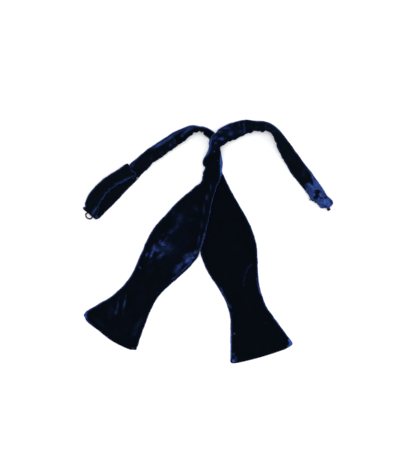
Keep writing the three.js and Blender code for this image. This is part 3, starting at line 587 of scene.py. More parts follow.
class Curve:
    """A smooth curve through rows: every column is interpolated over the distance in plan."""

    def __init__(self, rows, columns):
        self.columns = columns
        self.table = np.array([[row[name] for name in columns] for row in rows], float)
        steps = np.hypot(*np.diff(self.table[:, :2], axis=0).T)
        self.at = np.concatenate([[0.0], np.cumsum(steps)])
        self.length = self.at[-1]
        at, table = np.pad(self.at, 1, "edge"), np.pad(self.table, ((1, 1), (0, 0)), "edge")
        self.slopes = (table[2:] - table[:-2]) / (at[2:] - at[:-2])[:, None]

    def read(self, s):
        s = np.asarray(s, float)
        i = np.clip(np.searchsorted(self.at, s, side="right") - 1, 0, len(self.at) - 2)
        span = (self.at[i + 1] - self.at[i])[:, None]
        t = (s - self.at[i])[:, None] / span
        values = (
            (2 * t**3 - 3 * t**2 + 1) * self.table[i]
            + (t**3 - 2 * t**2 + t) * span * self.slopes[i]
            + (3 * t**2 - 2 * t**3) * self.table[i + 1]
            + (t**3 - t**2) * span * self.slopes[i + 1]
        )
        return dict(zip(self.columns, values.T))

    def heading(self, s):
        """The way along at each distance, level and of length 1."""
        a, b = (self.read(np.clip(s + span, 0, self.length)) for span in (-HEADING_SPAN, HEADING_SPAN))
        return unit(np.stack([b["x"] - a["x"], b["y"] - a["y"], 0 * a["x"]], axis=1))


STATION_COLUMNS = ("x", "y", "width", "thick", "crown", "lift", "roll", "curl", "bow")


def cloth_curve(rows):
    """The curve of a cloth strip, with what its rows leave out filled in."""
    full = []
    for row in rows:
        pressed = row["fold"] in PRESSED_PLACES
        thick, crown = (PRESSED_THICK, PRESSED_CROWN) if pressed else (BAND_THICK, CROWN)
        full.append({**dict.fromkeys(STATION_COLUMNS, 0), "thick": thick, "crown": crown, **row})
    return Curve(full, STATION_COLUMNS)


def spaced(start, stop, rounded_start, rounded_stop, radius, step):
    """Distances from start to stop, close together at an end that is rounded, and how full each is."""
    turns = np.linspace(0, math.pi / 2, ROUND_STEPS)
    reach, fullness = radius * (1 - np.cos(turns)), np.maximum(LEAST_FULL, np.sin(turns))
    low, high = start + radius * rounded_start, stop - radius * rounded_stop
    s = np.linspace(low, high, max(2, int(round((high - low) / step))) + 1)
    full = np.ones(len(s))
    if rounded_start:
        s, full = np.concatenate([start + reach[:-1], s]), np.concatenate([fullness[:-1], full])
    if rounded_stop:
        s, full = np.concatenate([s, stop - reach[-2::-1]]), np.concatenate([full, fullness[-2::-1]])
    return s, full


def stations(curve, s, full, up):
    """Everything that a ring needs at each distance s."""
    found, zero = curve.read(s), np.zeros(len(s))
    found["lift"] = np.maximum(0, found["lift"])
    way, upright = curve.heading(s), np.tile(up * UP, (len(s), 1))
    return {**found, "heading": way, "up": upright, "full": full, "slant": zero, "push": zero[:, None]}


class Section:
    """The closed outline of a strip's section: its top, one round edge, its underside, the other."""

    def __init__(self, across):
        top, under, arc = np.linspace(1, -1, across), np.linspace(-1, 1, UNDER_ACROSS), np.ones(ARC_POINTS)
        turn = np.radians(np.linspace(90, 270, ARC_POINTS + 2)[1:-1])
        quarter = math.pi / 2
        self.across = np.concatenate([top, -arc, under, arc])
        self.angle = np.concatenate([0 * top + quarter, turn, 0 * under - quarter, turn + math.pi])
        self.count = len(self.across)
        self.top = np.where(np.arange(self.count) < across, 1.0, 0.0)
        start, stop = across + ARC_POINTS, across + ARC_POINTS + UNDER_ACROSS
        self.top_row = [*range(across)]
        self.under_row = [*range(start, stop)][::-1]
        self.arcs = ([*range(across - 1, start + 1)], [*range(stop - 1, self.count), 0])


def rings(st, section, relief=0.0, jitter=0.0):
    """The rings about the middle of each section. relief raises the surface along its normal, and
    jitter moves its edges outwards."""
    names = ("width", "thick", "full", "crown", "bow", "slant", "curl", "roll")
    width, thick, full, crown, bow, slant, curl, roll = (st[name][:, None] for name in names)
    radius, roll = thick / 2, np.radians(roll)
    cos, sin = np.cos(section.angle)[None], np.sin(section.angle)[None]
    crown = crown * (1 - section.across**2)[None] * section.top[None]
    u = (width / 2 - radius + jitter) * section.across[None] + radius * full * cos + relief * full * cos
    v = full * (radius * sin + crown + relief * sin)
    share = 2 * u / width
    along = st["push"] + bow * (1 - share**2) + slant * share
    flat_enough = np.abs(curl) < FLAT_CURL
    bend = width / np.radians(np.where(flat_enough, FLAT_CURL, curl))
    curled_u = np.where(flat_enough, u, (bend + v) * np.sin(u / bend))
    curled_v = np.where(flat_enough, v, (bend + v) * np.cos(u / bend) - bend)
    left = np.cross(st["up"], st["heading"])
    rolled_left = left * np.cos(roll) + st["up"] * np.sin(roll)
    rolled_up = st["up"] * np.cos(roll) - left * np.sin(roll)
    moves = ((rolled_left, curled_u), (rolled_up, curled_v), (st["heading"], along))
    return sum(way[:, None] * amount[..., None] for way, amount in moves)


def placed(st, section, relief=0.0, jitter=0.0):
    """Rings in place: what shows is centred on x, y, and the lowest point is at the row's lift."""
    plain = rings({**st, "full": np.ones(len(st["x"]))}, section)
    left = np.cross(st["up"], st["heading"])
    sides = np.einsum("npc,nc->np", plain, left)
    middle = (sides.min(axis=1) + sides.max(axis=1)) / 2
    lowest = plain[..., 2].min(axis=1)
    move = np.stack([st["x"], st["y"], st["lift"] - lowest], axis=1) - left * middle[:, None]
    return rings(st, section, relief, jitter) + move[:, None]


def rim_of(points, heading, from_end):
    """How near its own outline in plan each point of a strip is: 1 at the edge, 0 well inside. This is the
    strength of the painted sheen on the rounded edges, more on the edges that face RIM_SIDE.
    """
    left = np.cross(UP, heading)
    sides = np.einsum("npc,nc->np", points, left)
    from_left = sides.max(axis=1)[:, None] - sides
    from_right = sides - sides.min(axis=1)[:, None]
    from_side, from_end = np.minimum(from_left, from_right), from_end[:, None]
    outward = left[:, None] * np.where(from_left < from_right, 1, -1)[..., None]
    outward = np.where((from_end < from_side)[..., None], heading[:, None], outward)
    facing = outward[..., 0] * RIM_SIDE[0] + outward[..., 1] * RIM_SIDE[1]
    nearest = np.minimum(from_side, from_end)
    return np.exp(-((nearest / RIM_WIDTH) ** 2)) * (RIM_EVEN + (1 - RIM_EVEN) * facing)


def eased_heading(heading, towards, share):
    """A heading turned towards another by a share of 0 to 1."""
    return unit(heading * (1 - share)[:, None] + towards * share[:, None])


def fold_frame(fold):
    heading = math.radians(fold["heading"])
    out = np.array([math.cos(heading), math.sin(heading), 0.0])
    left = np.cross(out, UP)
    inside = WIRE_DIAMETER / 2 + WIRE_CLEARANCE
    radius = inside + PRESSED_THICK / 2
    axis = np.array([fold["x"], fold["y"], fold["rise"] + PRESSED_THICK + inside])
    return out, left, radius, axis


def fold_stations(fold):
    """The stations of a fold, from its free layer to the band, and where the middle of each lies."""
    out, left, radius, axis = fold_frame(fold)
    share = np.linspace(0, 1, FOLD_STEPS + 1)
    turn = math.pi * share[:, None]
    heading = out * np.cos(turn) - UP * fold["side"] * np.sin(turn)
    up = np.cross(heading, left)
    centre = axis - up * fold["side"] * radius + left * (fold["shift"] * (1 - share))[:, None]
    width = fold["return_width"] + (fold["width"] - fold["return_width"]) * share
    zero = np.zeros(len(share))
    found = {name: zero for name in (*STATION_COLUMNS, "slant")}
    found["push"] = zero[:, None]
    found.update(width=width, thick=zero + PRESSED_THICK, heading=heading, up=up, full=zero + 1)
    return found, centre


def plan_outline(curve):
    """The plan outline of the flat part of a strip, for the cloth that drapes over it."""
    s = np.linspace(max(0, curve.length - DRAPE_LENGTH), curve.length, DRAPE_POINTS)
    found, left = curve.read(s), np.cross(UP, curve.heading(s))
    middle = np.stack([found["x"], found["y"]], axis=1)
    half = left[:, :2] * found["width"][:, None] / 2
    return np.concatenate([middle + half, (middle - half)[::-1]])


def near_path(x, y, path):
    """The distance of points from a line through a row of points."""
    nearest = np.full(len(x), np.inf)
    for (ax, ay), (bx, by) in zip(path[:-1], path[1:]):
        dx, dy = bx - ax, by - ay
        t = np.clip(((x - ax) * dx + (y - ay) * dy) / (dx**2 + dy**2), 0, 1)
        nearest = np.minimum(nearest, np.hypot(x - ax - t * dx, y - ay - t * dy))
    return nearest


def inside_by(x, y, outline):
    """How far points lie inside a closed outline, negative outside."""
    closed = [*outline, outline[0]]
    inside = np.zeros(len(x), bool)
    for (ax, ay), (bx, by) in zip(closed[:-1], closed[1:]):
        if ay != by:
            inside ^= ((ay > y) != (by > y)) & (x < ax + (y - ay) * (bx - ax) / (by - ay))
    nearest = near_path(x, y, closed)
    return np.where(inside, nearest, -nearest)


def raise_over(points, below):
    """Raises each ring until it clears the cloth below, and evens the raise out along the strip."""
    cloth = below.reshape(-1, 3)
    low = cloth.min(axis=0)[:2] - 2
    size = (cloth.max(axis=0)[:2] - low + 3).astype(int)
    heights = np.full(size, -FAR)
    cell = np.floor(cloth[:, :2] - low).astype(int)
    np.maximum.at(heights, (cell[:, 0], cell[:, 1]), cloth[:, 2])
    here = np.floor(points[..., :2] - low).astype(int)
    over = np.all((here >= 0) & (here < size), axis=-1)
    here = np.clip(here, 0, size - 1)
    under = np.where(over, heights[here[..., 0], here[..., 1]], -FAR)
    needed = np.maximum(0, (under + CROSSING_GAP - points[..., 2]).max(axis=1))
    reach = int(round(RAISE_REACH / BLADE_STEP))
    windows = np.lib.stride_tricks.sliding_window_view
    widened = windows(np.pad(needed, 2 * reach, mode="edge"), 2 * reach + 1).max(axis=1)
    points[..., 2] += windows(widened, 2 * reach + 1).mean(axis=1)[:, None]


def gathers_of(piece, curve, s, section, width):
    """The waves that gathers make in a strip's surface, for every ring and point."""
    total = np.zeros((len(s), section.count))
    here = curve.read(s)
    for row in rows_of(GATHER_COLUMNS, GATHERS[piece]):
        middle = s[np.argmin(np.hypot(here["x"] - row["x"], here["y"] - row["y"]))]
        from_edge = (1 - row["side"] * section.across[None]) * width[:, None] / 2
        uneven = GATHER_DRIFT * wander(s, GATHER_DRIFT_LENGTH, GATHER_SEED)
        wave = bell(s - middle, row["spread"]) * np.sin(2 * math.pi * (s - middle) / row["pitch"] + uneven)
        total += row["depth"] * wave[:, None] * np.exp(-from_edge / row["reach"])
    return total


def relief_of(piece, curve, s, section, width):
    """The cloth's own unevenness: gathers, slow and fine waves, and the mark of the seam allowance."""
    across = section.across[None] * width[:, None] / 2
    along = s[:, None] + 0 * across
    slow = SLOW_WAVE * blotches("slow wave", piece, along, across)
    fine = FINE_WAVE * blotches("fine wave", piece, along, across)
    from_edge = width[:, None] / 2 * (1 - np.abs(section.across[None]))
    wide_enough = smoothstep(*RIDGE_WIDTHS, width)[:, None]
    ridge = RIDGE_HEIGHT * np.exp(-(((from_edge - SEAM_ALLOWANCE) / RIDGE_SPREAD) ** 2)) * wide_enough
    calm = np.where(curve.read(s)["thick"] < BAND_THICK, PRESSED_CALM, 1.0)[:, None]
    return calm * (slow + fine) + ridge + gathers_of(piece, curve, s, section, width)


def edge_jitter(piece, curve, s, section, layer=""):
    """Small waves in the line of each edge, and the places where it is pushed out or pinched in."""
    seed = CLOTHS.index(piece) * 10 + EDGE_SEEDS[layer]
    here, way = curve.read(s), np.cross(-UP if layer else UP, curve.heading(s))
    lines = {}
    for side, slow, fine in EDGE_WAVES:
        lines[side] = SLOW_EDGE * wander(s, slow, seed) + FINE_EDGE * wander(s, fine, seed + 1)
        seed += 2
    for row in rows_of(PUSH_COLUMNS, PUSHES[piece + layer]):
        side = row["side"]
        x, y = (here[axis] + side * way[:, i] * here["width"] / 2 for i, axis in enumerate("xy"))
        away = np.hypot(x - row["x"], y - row["y"])
        if away.min() < PUSH_NEAR:
            lines[side] += row["out"] * bell(s - s[np.argmin(away)], row["spread"])
    return np.where(section.across[None] > 0, lines[1][:, None], lines[-1][:, None])


def fray(s, section):
    """The loose, fraying line of a folded-back layer's inner edge."""
    line = sum(FRAY * wander(s, length, seed) for length, seed in FRAY_WAVES)
    return np.where(section.across[None] < 0, line[:, None], 0)


def line_of(end, section):
    """How far out the line of an end is, at every point of the section."""
    rows = rows_of(LINE_COLUMNS, LINES[end])[::-1]
    return np.interp(section.across, [row["across"] for row in rows], [row["out"] for row in rows])[None]


def blade_rows(neck_row, axis_table, layer, end_bow):
    """The rows of a blade, along its axis from the neck to the flared end."""
    axis = Curve([neck_row, *rows_of(("x", "y"), axis_table)], ("x", "y"))
    made = []
    for shape in rows_of(SHAPE_COLUMNS, BLADE_SHAPE):
        if shape["from_end"] < axis.length:
            point = axis.read([axis.length - shape["from_end"]])
            x, y = point["x"][0], point["y"][0]
            bow = end_bow * fade(BOW_REACH, shape["from_end"])
            row = {"fold": shape["place"], "x": x, "y": y, "width": 2 * shape[layer]}
            made.append({**row, "bow": bow, "thick": BLADE_THICK})
    return made


def band_layer(piece, curve, s, section, st, from_fold, towards, layer="", frayed=0):
    """The rings of a band's layer, which turns square to the fold and gets smooth towards it."""
    st["heading"] = eased_heading(st["heading"], towards, fade(TURN_REACH, from_fold))
    ease = smoothstep(0, SMOOTH_REACH, from_fold)[:, None]
    relief = relief_of(piece, curve, s, section, st["width"])
    jitter = edge_jitter(piece, curve, s, section, layer) + frayed
    return placed(st, section, relief * ease, PILE + jitter * ease)


def band_strip(piece, fold, free, main, seam):
    """A neckband: the layer that is folded back, from its free end, then the fold, then up to the seam."""
    out, _, radius, _ = fold_frame(fold)
    section, pressed = Section(BAND_ACROSS), PRESSED_THICK / 2
    free_s, free_full = (line[:-1] for line in spaced(0, free.length, True, False, pressed, BAND_STEP))
    band_s, band_full = (line[1:] for line in spaced(0, seam, False, True, SEAM_DIP, BAND_STEP))
    from_fold = free.length - free_s
    free_st = stations(free, free_s, free_full, -1)
    fold_st, centre = fold_stations(fold)
    band_st = stations(main, band_s, np.maximum(SEAM_FULL, band_full), 1)

    fold_line, free_line = line_of(piece + " fold", section), line_of(piece + " return", section)
    near_free_end = fade(LINE_REACH / 2, free_s)[:, None]
    free_st["push"] = fold_line * fade(LINE_REACH, from_fold)[:, None] - free_line * near_free_end
    free_st["slant"] = RETURN_SLANT * fold["side"] * fade(RETURN_SLANT_REACH, free_s)
    band_st["push"] = -fold_line * fade(LINE_REACH, band_s)[:, None]
    share = np.linspace(0, 1, FOLD_STEPS + 1)
    nub = fold["nub"] * np.exp(-(((share[:, None] - NUB_AT) / NUB_SPREAD) ** 2)) * (section.across[None] > 0)
    fold_rings = rings(fold_st, section, PILE * section.top[None], PILE + nub)
    frayed = fold["fray"] * fray(free_s, section)
    layers = [
        band_layer(piece, free, free_s, section, free_st, from_fold, out, " return", frayed),
        fold_rings + centre[:, None] + out * fold_line[..., None],
        band_layer(piece, main, band_s, section, band_st, band_s, -out),
    ]

    turned = math.pi * radius
    fold_s = turned * share
    from_turn = (radius + pressed) * (1 - np.sin(math.pi * share))
    # Painted sheen at the edges of each layer, weaker along the frayed edges.
    loose = (section.across[None] < 0) | (free_s[:, None] < FRAYED_END)
    rims = [
        rim_of(layers[0], -free_st["heading"], free_s) * np.where(loose, 1 - FRAYED_DULL * fold["fray"], 1),
        rim_of(layers[1], np.tile(out, (len(share), 1)), from_turn),
        rim_of(layers[2], band_st["heading"], FAR + band_s),
    ]
    return {
        "points": np.concatenate(layers),
        "section": section,
        "along": np.concatenate([free_s, free.length + fold_s, free.length + turned + band_s]),
        "width": np.concatenate([st["width"] for st in (free_st, fold_st, band_st)]),
        "rim": np.concatenate(rims),
    }


def blade_strip(piece, main, seam):
    """A blade, from the seam to its flared end."""
    section, end = Section(BLADE_ACROSS), main.length + PILE
    s, full = spaced(seam, end, True, True, BLADE_THICK / 2, BLADE_STEP)
    full = np.where(s < seam + BLADE_THICK, np.maximum(SEAM_FULL, full), full)
    st = stations(main, s, full, 1)
    ending, near_end = dict(zip(END_COLUMNS, ENDS[piece])), fade(END_REACH, end - s)
    st["push"] = (ending["push"] + line_of(piece + " end", section)) * near_end[:, None]
    st["slant"] = ending["slant"] * near_end
    relief = relief_of(piece, main, s, section, st["width"])
    points = placed(st, section, relief, PILE + edge_jitter(piece, main, s, section))
    rim = rim_of(points, st["heading"], end - s)
    return {"points": points, "section": section, "along": s - seam, "width": st["width"], "rim": rim}


def half(rows, axis, layer, end_bow, fold, return_rows, band_piece, blade_piece):
    """One half of the tie: its neckband, its blade, and the curve through both."""
    _, left, radius, _ = fold_frame(fold)
    band_lift, return_lift = (fold["rise"], fold["rise"] + 2 * radius)[:: fold["side"]]
    x, y = fold["x"] + left[0] * fold["shift"], fold["y"] + left[1] * fold["shift"]
    band_start = ("under the fold", fold["x"], fold["y"], fold["width"], band_lift)
    return_end = ("return", x, y, fold["return_width"], return_lift)
    rows = rows_of(ROW_COLUMNS, (band_start, *rows))
    main = cloth_curve([*rows, *blade_rows(rows[-1], axis, layer, end_bow)])
    free = cloth_curve(rows_of(ROW_COLUMNS, (*return_rows, return_end)))
    seam = main.at[[row["fold"] for row in rows].index("seam")]
    return {
        "curve": main,
        "band": band_strip(band_piece, fold, free, main, seam),
        "blade": blade_strip(blade_piece, main, seam),
    }


def blend(use, coarse, fine):
    return BLENDS[use][0] * coarse + BLENDS[use][1] * fine


def tone_with_painted_light_at(piece, x, y, along, across, rim):
    """The tone at points of a piece, from 0, flat and dark, to 1: a random base tone, painted sheen from the
    marks, streaks, patches and rounded edges, then painted shade and a few painted highlights drawn last.
    """
    patchy, fine, broad, uneven_sheen, uneven_sheen_fine = (
        blotches(name, piece, along, across) for name in ("patchy", "fine", "broad", "uneven_sheen", "worn fine")
    )
    ragged, lively = blend("ragged", patchy, fine), 1 + blend("mark", patchy, fine)
    calm = 1 + blend("patch", patchy, fine)
    tone = BASE_TONES[piece] * (1 + blend("base", broad, patchy))
    for row in rows_of(MARK_COLUMNS, PAINTED_SHEEN_MARKS[piece]):
        tone = lit(tone, row, mark_weight(row, x, y, ragged), lively)
    for row in rows_of(STREAK_COLUMNS, PAINTED_SHEEN_STREAKS[piece]):
        distance = near_path(x, y, row["path"]) / row["wide"]
        tone = lit(tone, row, 1 - smoothstep(*STREAK_EDGE, distance + STREAK_RAGGED * ragged), lively)
    for row in rows_of(PATCH_COLUMNS, PAINTED_LIGHT_PATCHES.get(piece, ())):
        depth = inside_by(x, y, row["outline"])
        tone = lit(tone, row, smoothstep(-row["soft"], row["soft"], depth - ragged), calm)
    # Painted sheen along the rounded edges, as if they caught the light.
    tone = np.maximum(tone, rim * RIM_TONES[piece] * (1 + blend("rim", uneven_sheen, uneven_sheen_fine)))
    # Painted shade in dents and dark places, and a few painted highlights, over everything.
    for row in rows_of(MARK_COLUMNS, PAINTED_SHADE_AND_HIGHLIGHT_MARKS[piece]):
        tone = tone + (row["tone"] - tone) * mark_weight(row, x, y, ragged, DARK_RAGGED)
    return np.maximum(0, tone)


def mark_weight(row, x, y, ragged, raggedness=1.0):
    """How strongly a mark tells at points: 1 in its middle, 0 past its soft and ragged edge."""
    turn = math.radians(row["turn"])
    dx, dy = x - row["x"], y - row["y"]
    a = (dx * math.cos(turn) + dy * math.sin(turn)) / row["long"]
    b = (-dx * math.sin(turn) + dy * math.cos(turn)) / row["wide"]
    small = min(1.0, (row["long"] + row["wide"]) / SMALL_MARK)
    distance = np.hypot(a, b) + ragged * min(1.0, SOFT_RAGGED * row["soft"]) * small * raggedness
    return 1 - smoothstep(1 - row["soft"], 1 + SOFT_SPILL * row["soft"], distance)


def lit(tone, row, weight, lively):
    """Tone raised towards a row's own, never lowered."""
    return np.maximum(tone, tone + (row["tone"] * lively - tone) * weight)


def in_scene(name, data):
    made = bpy.data.objects.new(name, data)
    bpy.context.scene.collection.objects.link(made)
    return made


def cloth_mesh(name, piece, strip):
    """A closed mesh through a strip's rings, with a cap at each end, its tone of painted sheen and painted
    shade, and its strip coordinates.
    """
    points, section = strip["points"], strip["section"]
    count, width = points.shape[0], section.count
    ring = np.arange(count)[:, None] * width
    here, after = np.arange(width)[None], (np.arange(width)[None] + 1) % width
    sides = [ring[:-1] + here, ring[:-1] + after, ring[1:] + after, ring[1:] + here]
    quads = np.stack(sides, axis=-1).reshape(-1, 4)
    caps = zipped(section.top_row, section.under_row) + [tuple(reversed(arc)) for arc in section.arcs]
    last = (count - 1) * width
    end_caps = [tuple(last + i for i in reversed(face)) for face in caps]
    flat = points.reshape(-1, 3)
    vertices = (flat - LAYOUT_CENTRE) * MM
    vertices[:, 2] = np.maximum(0, vertices[:, 2])
    mesh = bpy.data.meshes.new(name)
    mesh.from_pydata(vertices.tolist(), [], [*map(tuple, quads.tolist()), *caps, *end_caps])
    mesh.validate()
    mesh.shade_smooth()

    along = np.repeat(strip["along"], width)
    across = (section.across[None] * strip["width"][:, None] / 2).ravel()
    # The tone, with its painted sheen and painted shade, on every point.
    tone = tone_with_painted_light_at(piece, flat[:, 0], flat[:, 1], along, across, strip["rim"].ravel())
    mesh.attributes.new("tone_with_painted_light", "FLOAT", "POINT").data.foreach_set("value", tone.astype(np.float32))
    corner = np.zeros(len(mesh.loops), np.int32)
    mesh.loops.foreach_get("vertex_index", corner)
    round_the_ring = np.tile(np.linspace(0, 1, width), count) * 2 * float(strip["width"].max())
    strip_uv = np.stack([along[corner], round_the_ring[corner]], axis=1) * MM
    mesh.uv_layers.new(name="strip").data.foreach_set("uv", strip_uv.ravel().astype(np.float32))
    return in_scene(name, mesh)


def zipped(top, under):
    """Triangles between two rows of vertices, whose counts may differ."""
    faces, i, j = [], 0, 0
    while i < len(top) - 1 or j < len(under) - 1:
        next_top, next_under = (i + 1) / (len(top) - 1), (j + 1) / (len(under) - 1)
        if j == len(under) - 1 or (i < len(top) - 1 and next_top <= next_under):
            faces.append((top[i], under[j], top[i + 1]))
            i += 1
        else:
            faces.append((top[i], under[j], under[j + 1]))
            j += 1
    return faces


def wire_points(fold, offset, one_side, middle):
    """A wire's points at a fold: one side, what is in its middle, and the other side."""
    out, left, _, axis = fold_frame(fold)
    other_side = [(along, -side, up) for along, side, up in reversed(one_side)]
    return [
        axis + out * along - left * (side + offset) + UP * up
        for along, side, up in [*one_side, *middle, *other_side]
    ]


def eye_points():
    """The eye: a bar inside the fold, and a round loop out through the fold."""
    outside = fold_frame(LOWER_FOLD)[2] + PRESSED_THICK / 2
    tip = outside + EYE_LOOP_REACH - WIRE_DIAMETER / 2
    half_loop = (EYE_LOOP_WIDTH - WIRE_DIAMETER) / 2
    one_side = [
        (0, EYE_SPAN / 2, 0),
        (0, half_loop + 0.9, 0),
        (0.7, half_loop + 0.1, 0),
        (outside * 0.62, half_loop - 0.4, -0.1),
        (outside + 0.2, half_loop - 0.2, -0.4),
    ]
    round_from = outside + EYE_NECK
    loop = []
    for a in np.radians((18, 54, 90, 126, 162)):
        reach = (tip - round_from) * math.sin(a)
        loop.append((round_from + reach, half_loop * 1.06 * math.cos(a), -0.7 - 0.25 * reach))
    return wire_points(LOWER_FOLD, EYE_OFFSET, one_side, loop)


def hook_points():
    """The hook: a doubled wire with its spread ends in the fold, and its nose bent down and back."""
    _, _, radius, axis = fold_frame(UPPER_FOLD)
    outside = radius + PRESSED_THICK / 2
    half_gap = HOOK_SPREAD / 2
    drop = axis[2] - WIRE_DIAMETER / 2 - HOOK_LIFT
    nose = drop / 2
    nose_at = outside + HOOK_REACH - WIRE_DIAMETER / 2 - nose
    one_side = [
        (-HOOK_BASE_LENGTH, HOOK_BASE_WIDTH / 2, 0),
        (-HOOK_BASE_LENGTH * 0.5, HOOK_BASE_WIDTH * 0.34, 0),
        (0, half_gap + 0.35, 0),
        (outside, half_gap, 0),
    ]
    for a in np.radians((90, 60, 30, 0, -30, -60, -90)):
        one_side.append((nose_at + nose * math.cos(a), half_gap, -nose + nose * math.sin(a)))
    one_side.append((nose_at - HOOK_TONGUE * 0.45, half_gap, -drop))
    one_side.append((nose_at - HOOK_TONGUE * 0.88, half_gap * 0.92, -drop))
    return wire_points(UPPER_FOLD, HOOK_OFFSET, one_side, [(nose_at - HOOK_TONGUE, 0, -drop)])


def strands(name, paths, diameter):
    """Round wires or threads along rows of points, as one curve with a round bevel."""
    curve = bpy.data.curves.new(name, "CURVE")
    curve.dimensions = "3D"
    curve.bevel_depth = diameter / 2 * MM
    curve.bevel_resolution = 4
    curve.use_fill_caps = True
    for points in paths:
        spline = curve.splines.new("BEZIER")
        spline.bezier_points.add(len(points) - 1)
        spline.resolution_u = 8
        for bezier, point in zip(spline.bezier_points, points):
            bezier.co = (point - LAYOUT_CENTRE) * MM
            bezier.handle_left_type = bezier.handle_right_type = "AUTO"
    return in_scene(name, curve)


def stitch_points(path, cloth):
    """A stitch over the cloth: its ends go into the pile, and between them it lies on top."""
    points = []
    for i, (x, y) in enumerate(path):
        near = np.hypot(cloth[:, 0] - x, cloth[:, 1] - y) < STITCH_NEAR
        lift = -STITCH_LIFT if i in (0, len(path) - 1) else STITCH_LIFT
        points.append(np.array([x, y, cloth[near, 2].max() + lift]))
    return points


def tuft_paths():
    """Loose curled fibres about the middle of each tuft."""
    chance = np.random.default_rng(TUFT_SEED)
    paths = []
    for row in rows_of(TUFT_COLUMNS, TUFTS):
        for _ in range(row["count"]):
            turn, bend = chance.uniform(0, 2 * math.pi), chance.uniform(-FIBRE_BEND, FIBRE_BEND)
            reach = row["spread"] * chance.uniform(0.5, 1)
            middle = np.array([row["x"], row["y"], row["z"]])
            points = [middle + chance.normal(0, TUFT_CORE, 3) * row["spread"]]
            for part in FIBRE_PARTS:
                angle = turn + bend * part
                rise = chance.uniform(-FIBRE_RISE, FIBRE_RISE)
                step = np.array([math.cos(angle), math.sin(angle), rise])
                points.append(points[-1] + step * reach / FIBRE_STEPS)
            paths.append(points)
    return paths


def nodes_of(name):
    material = bpy.data.materials.new(name)
    material.use_nodes = True
    tree = material.node_tree
    return material, tree, tree.nodes["Principled BSDF"]


def feed(tree, node, inputs):
    """Sets a node's inputs, or links those whose value is another node's output."""
    for key, value in inputs.items():
        if isinstance(value, bpy.types.NodeSocket):
            tree.links.new(value, node.inputs[key])
        else:
            node.inputs[key].default_value = value


def add(tree, kind, inputs, output, **settings):
    """A new node's output, with its inputs fed and its settings made."""
    node = tree.nodes.new(kind)
    for key, value in settings.items():
        setattr(node, key, value)
    feed(tree, node, inputs)
    return node.outputs[output]


def math_node(tree, operation, *values):
    return add(tree, "ShaderNodeMath", dict(enumerate(values)), 0, operation=operation)


def noise(tree, scale, detail, roughness=0.5):
    place = add(tree, "ShaderNodeTexCoord", {}, "Object")
    inputs = {"Vector": place, "Scale": scale, "Detail": detail, "Roughness": roughness}
    return add(tree, "ShaderNodeTexNoise", inputs, "Fac")


def colour_mix(tree, share, a, b, **settings):
    inputs = {"Factor": share, "A": a, "B": b}
    return add(tree, "ShaderNodeMix", inputs, "Result", data_type="RGBA", **settings)


def bumped(tree, height, strength, distance):
    inputs = {"Height": height, "Strength": strength, "Distance": distance}
    return add(tree, "ShaderNodeBump", inputs, "Normal")


# The velvet's colours in linear light: its pile laid away from the eye, and NAP_LIT, a painted sheen for pile
# brushed towards it.
NAP_DARK = (0.0018, 0.0028, 0.0036)
NAP_DARK_BLUE = (0.0013, 0.0022, 0.0044)
NAP_LIT = (0.036, 0.080, 0.335, 1)
SHEEN_TINT = (0.2, 0.38, 1.0, 1)
LIT_SHARE = 0.72
SPECK = 0.16

METAL_DARK, METAL_WORN = (0.012, 0.012, 0.017, 1), (0.034, 0.033, 0.042, 1)
THREAD_DARK, THREAD_LIGHT = (0.001, 0.0016, 0.0034, 1), (0.004, 0.007, 0.018, 1)
FIBRE_DARK, FIBRE_LIGHT = (0.1, 0.1, 0.13, 1), (0.32, 0.31, 0.33, 1)

# The room, in metres and watts: a white floor, a pale sky and two round lights, one of them aside.
SENSOR_WIDTH = 36
FLOOR_REACH = 2.5
FLOOR_WHITE = (0.95, 0.952, 0.958, 1)
SKY, SKY_STRENGTH = (0.985, 0.992, 1.0, 1), 0.75
LIGHT_COLUMNS = ("name", "size", "energy", "aside", "height")
LIGHTS = (("window", 1.2, 4, 1.3, 1.5), ("softbox", 2.4, 90, 0, 4.0))


def velvet(name, mottle_strength, depth):
    """Velvet: a dark pile whose brightness follows a tone of painted sheen and painted shade, with a blue
    sheen where it turns away.
    """
    material, tree, shader = nodes_of(name)
    tone_with_painted_light = add(tree, "ShaderNodeAttribute", {}, "Fac", attribute_name="tone_with_painted_light")
    blotch, speck = noise(tree, 130, 3, 0.6), noise(tree, 520, 2, 0.7)
    blotch_tone = math_node(tree, "MULTIPLY_ADD", blotch, mottle_strength, -0.5 * mottle_strength)
    speck_tone = math_node(tree, "MULTIPLY_ADD", speck, SPECK, -0.5 * SPECK)
    uneven = math_node(tree, "ADD", blotch_tone, speck_tone)
    # The tone attribute holds a random base tone with painted sheen and painted shade; it mixes the dark pile
    # towards NAP_LIT, the painted sheen's colour.
    lively = math_node(tree, "ADD", tone_with_painted_light, 0.3)
    tone = math_node(tree, "MULTIPLY_ADD", uneven, lively, tone_with_painted_light)
    squared = math_node(tree, "POWER", math_node(tree, "MAXIMUM", tone, 0.0), 2.0)
    share = math_node(tree, "MULTIPLY", squared, LIT_SHARE)
    dark, blue = ((*(depth * value for value in shade), 1) for shade in (NAP_DARK, NAP_DARK_BLUE))
    ground = colour_mix(tree, noise(tree, 220, 2), dark, blue)
    inputs = {
        "Base Color": colour_mix(tree, share, ground, NAP_LIT, clamp_factor=False),
        "Normal": bumped(tree, noise(tree, 1500, 2, 0.6), 0.25, 0.0003),
        "Roughness": math_node(tree, "MULTIPLY_ADD", speck, 0.16, 0.84),
    }
    feed(tree, shader, inputs)
    shader.inputs["Specular IOR Level"].default_value = 0.0
    shader.inputs["Sheen Weight"].default_value = 1.0
    shader.inputs["Sheen Roughness"].default_value = 0.22
    shader.inputs["Sheen Tint"].default_value = SHEEN_TINT
    return material


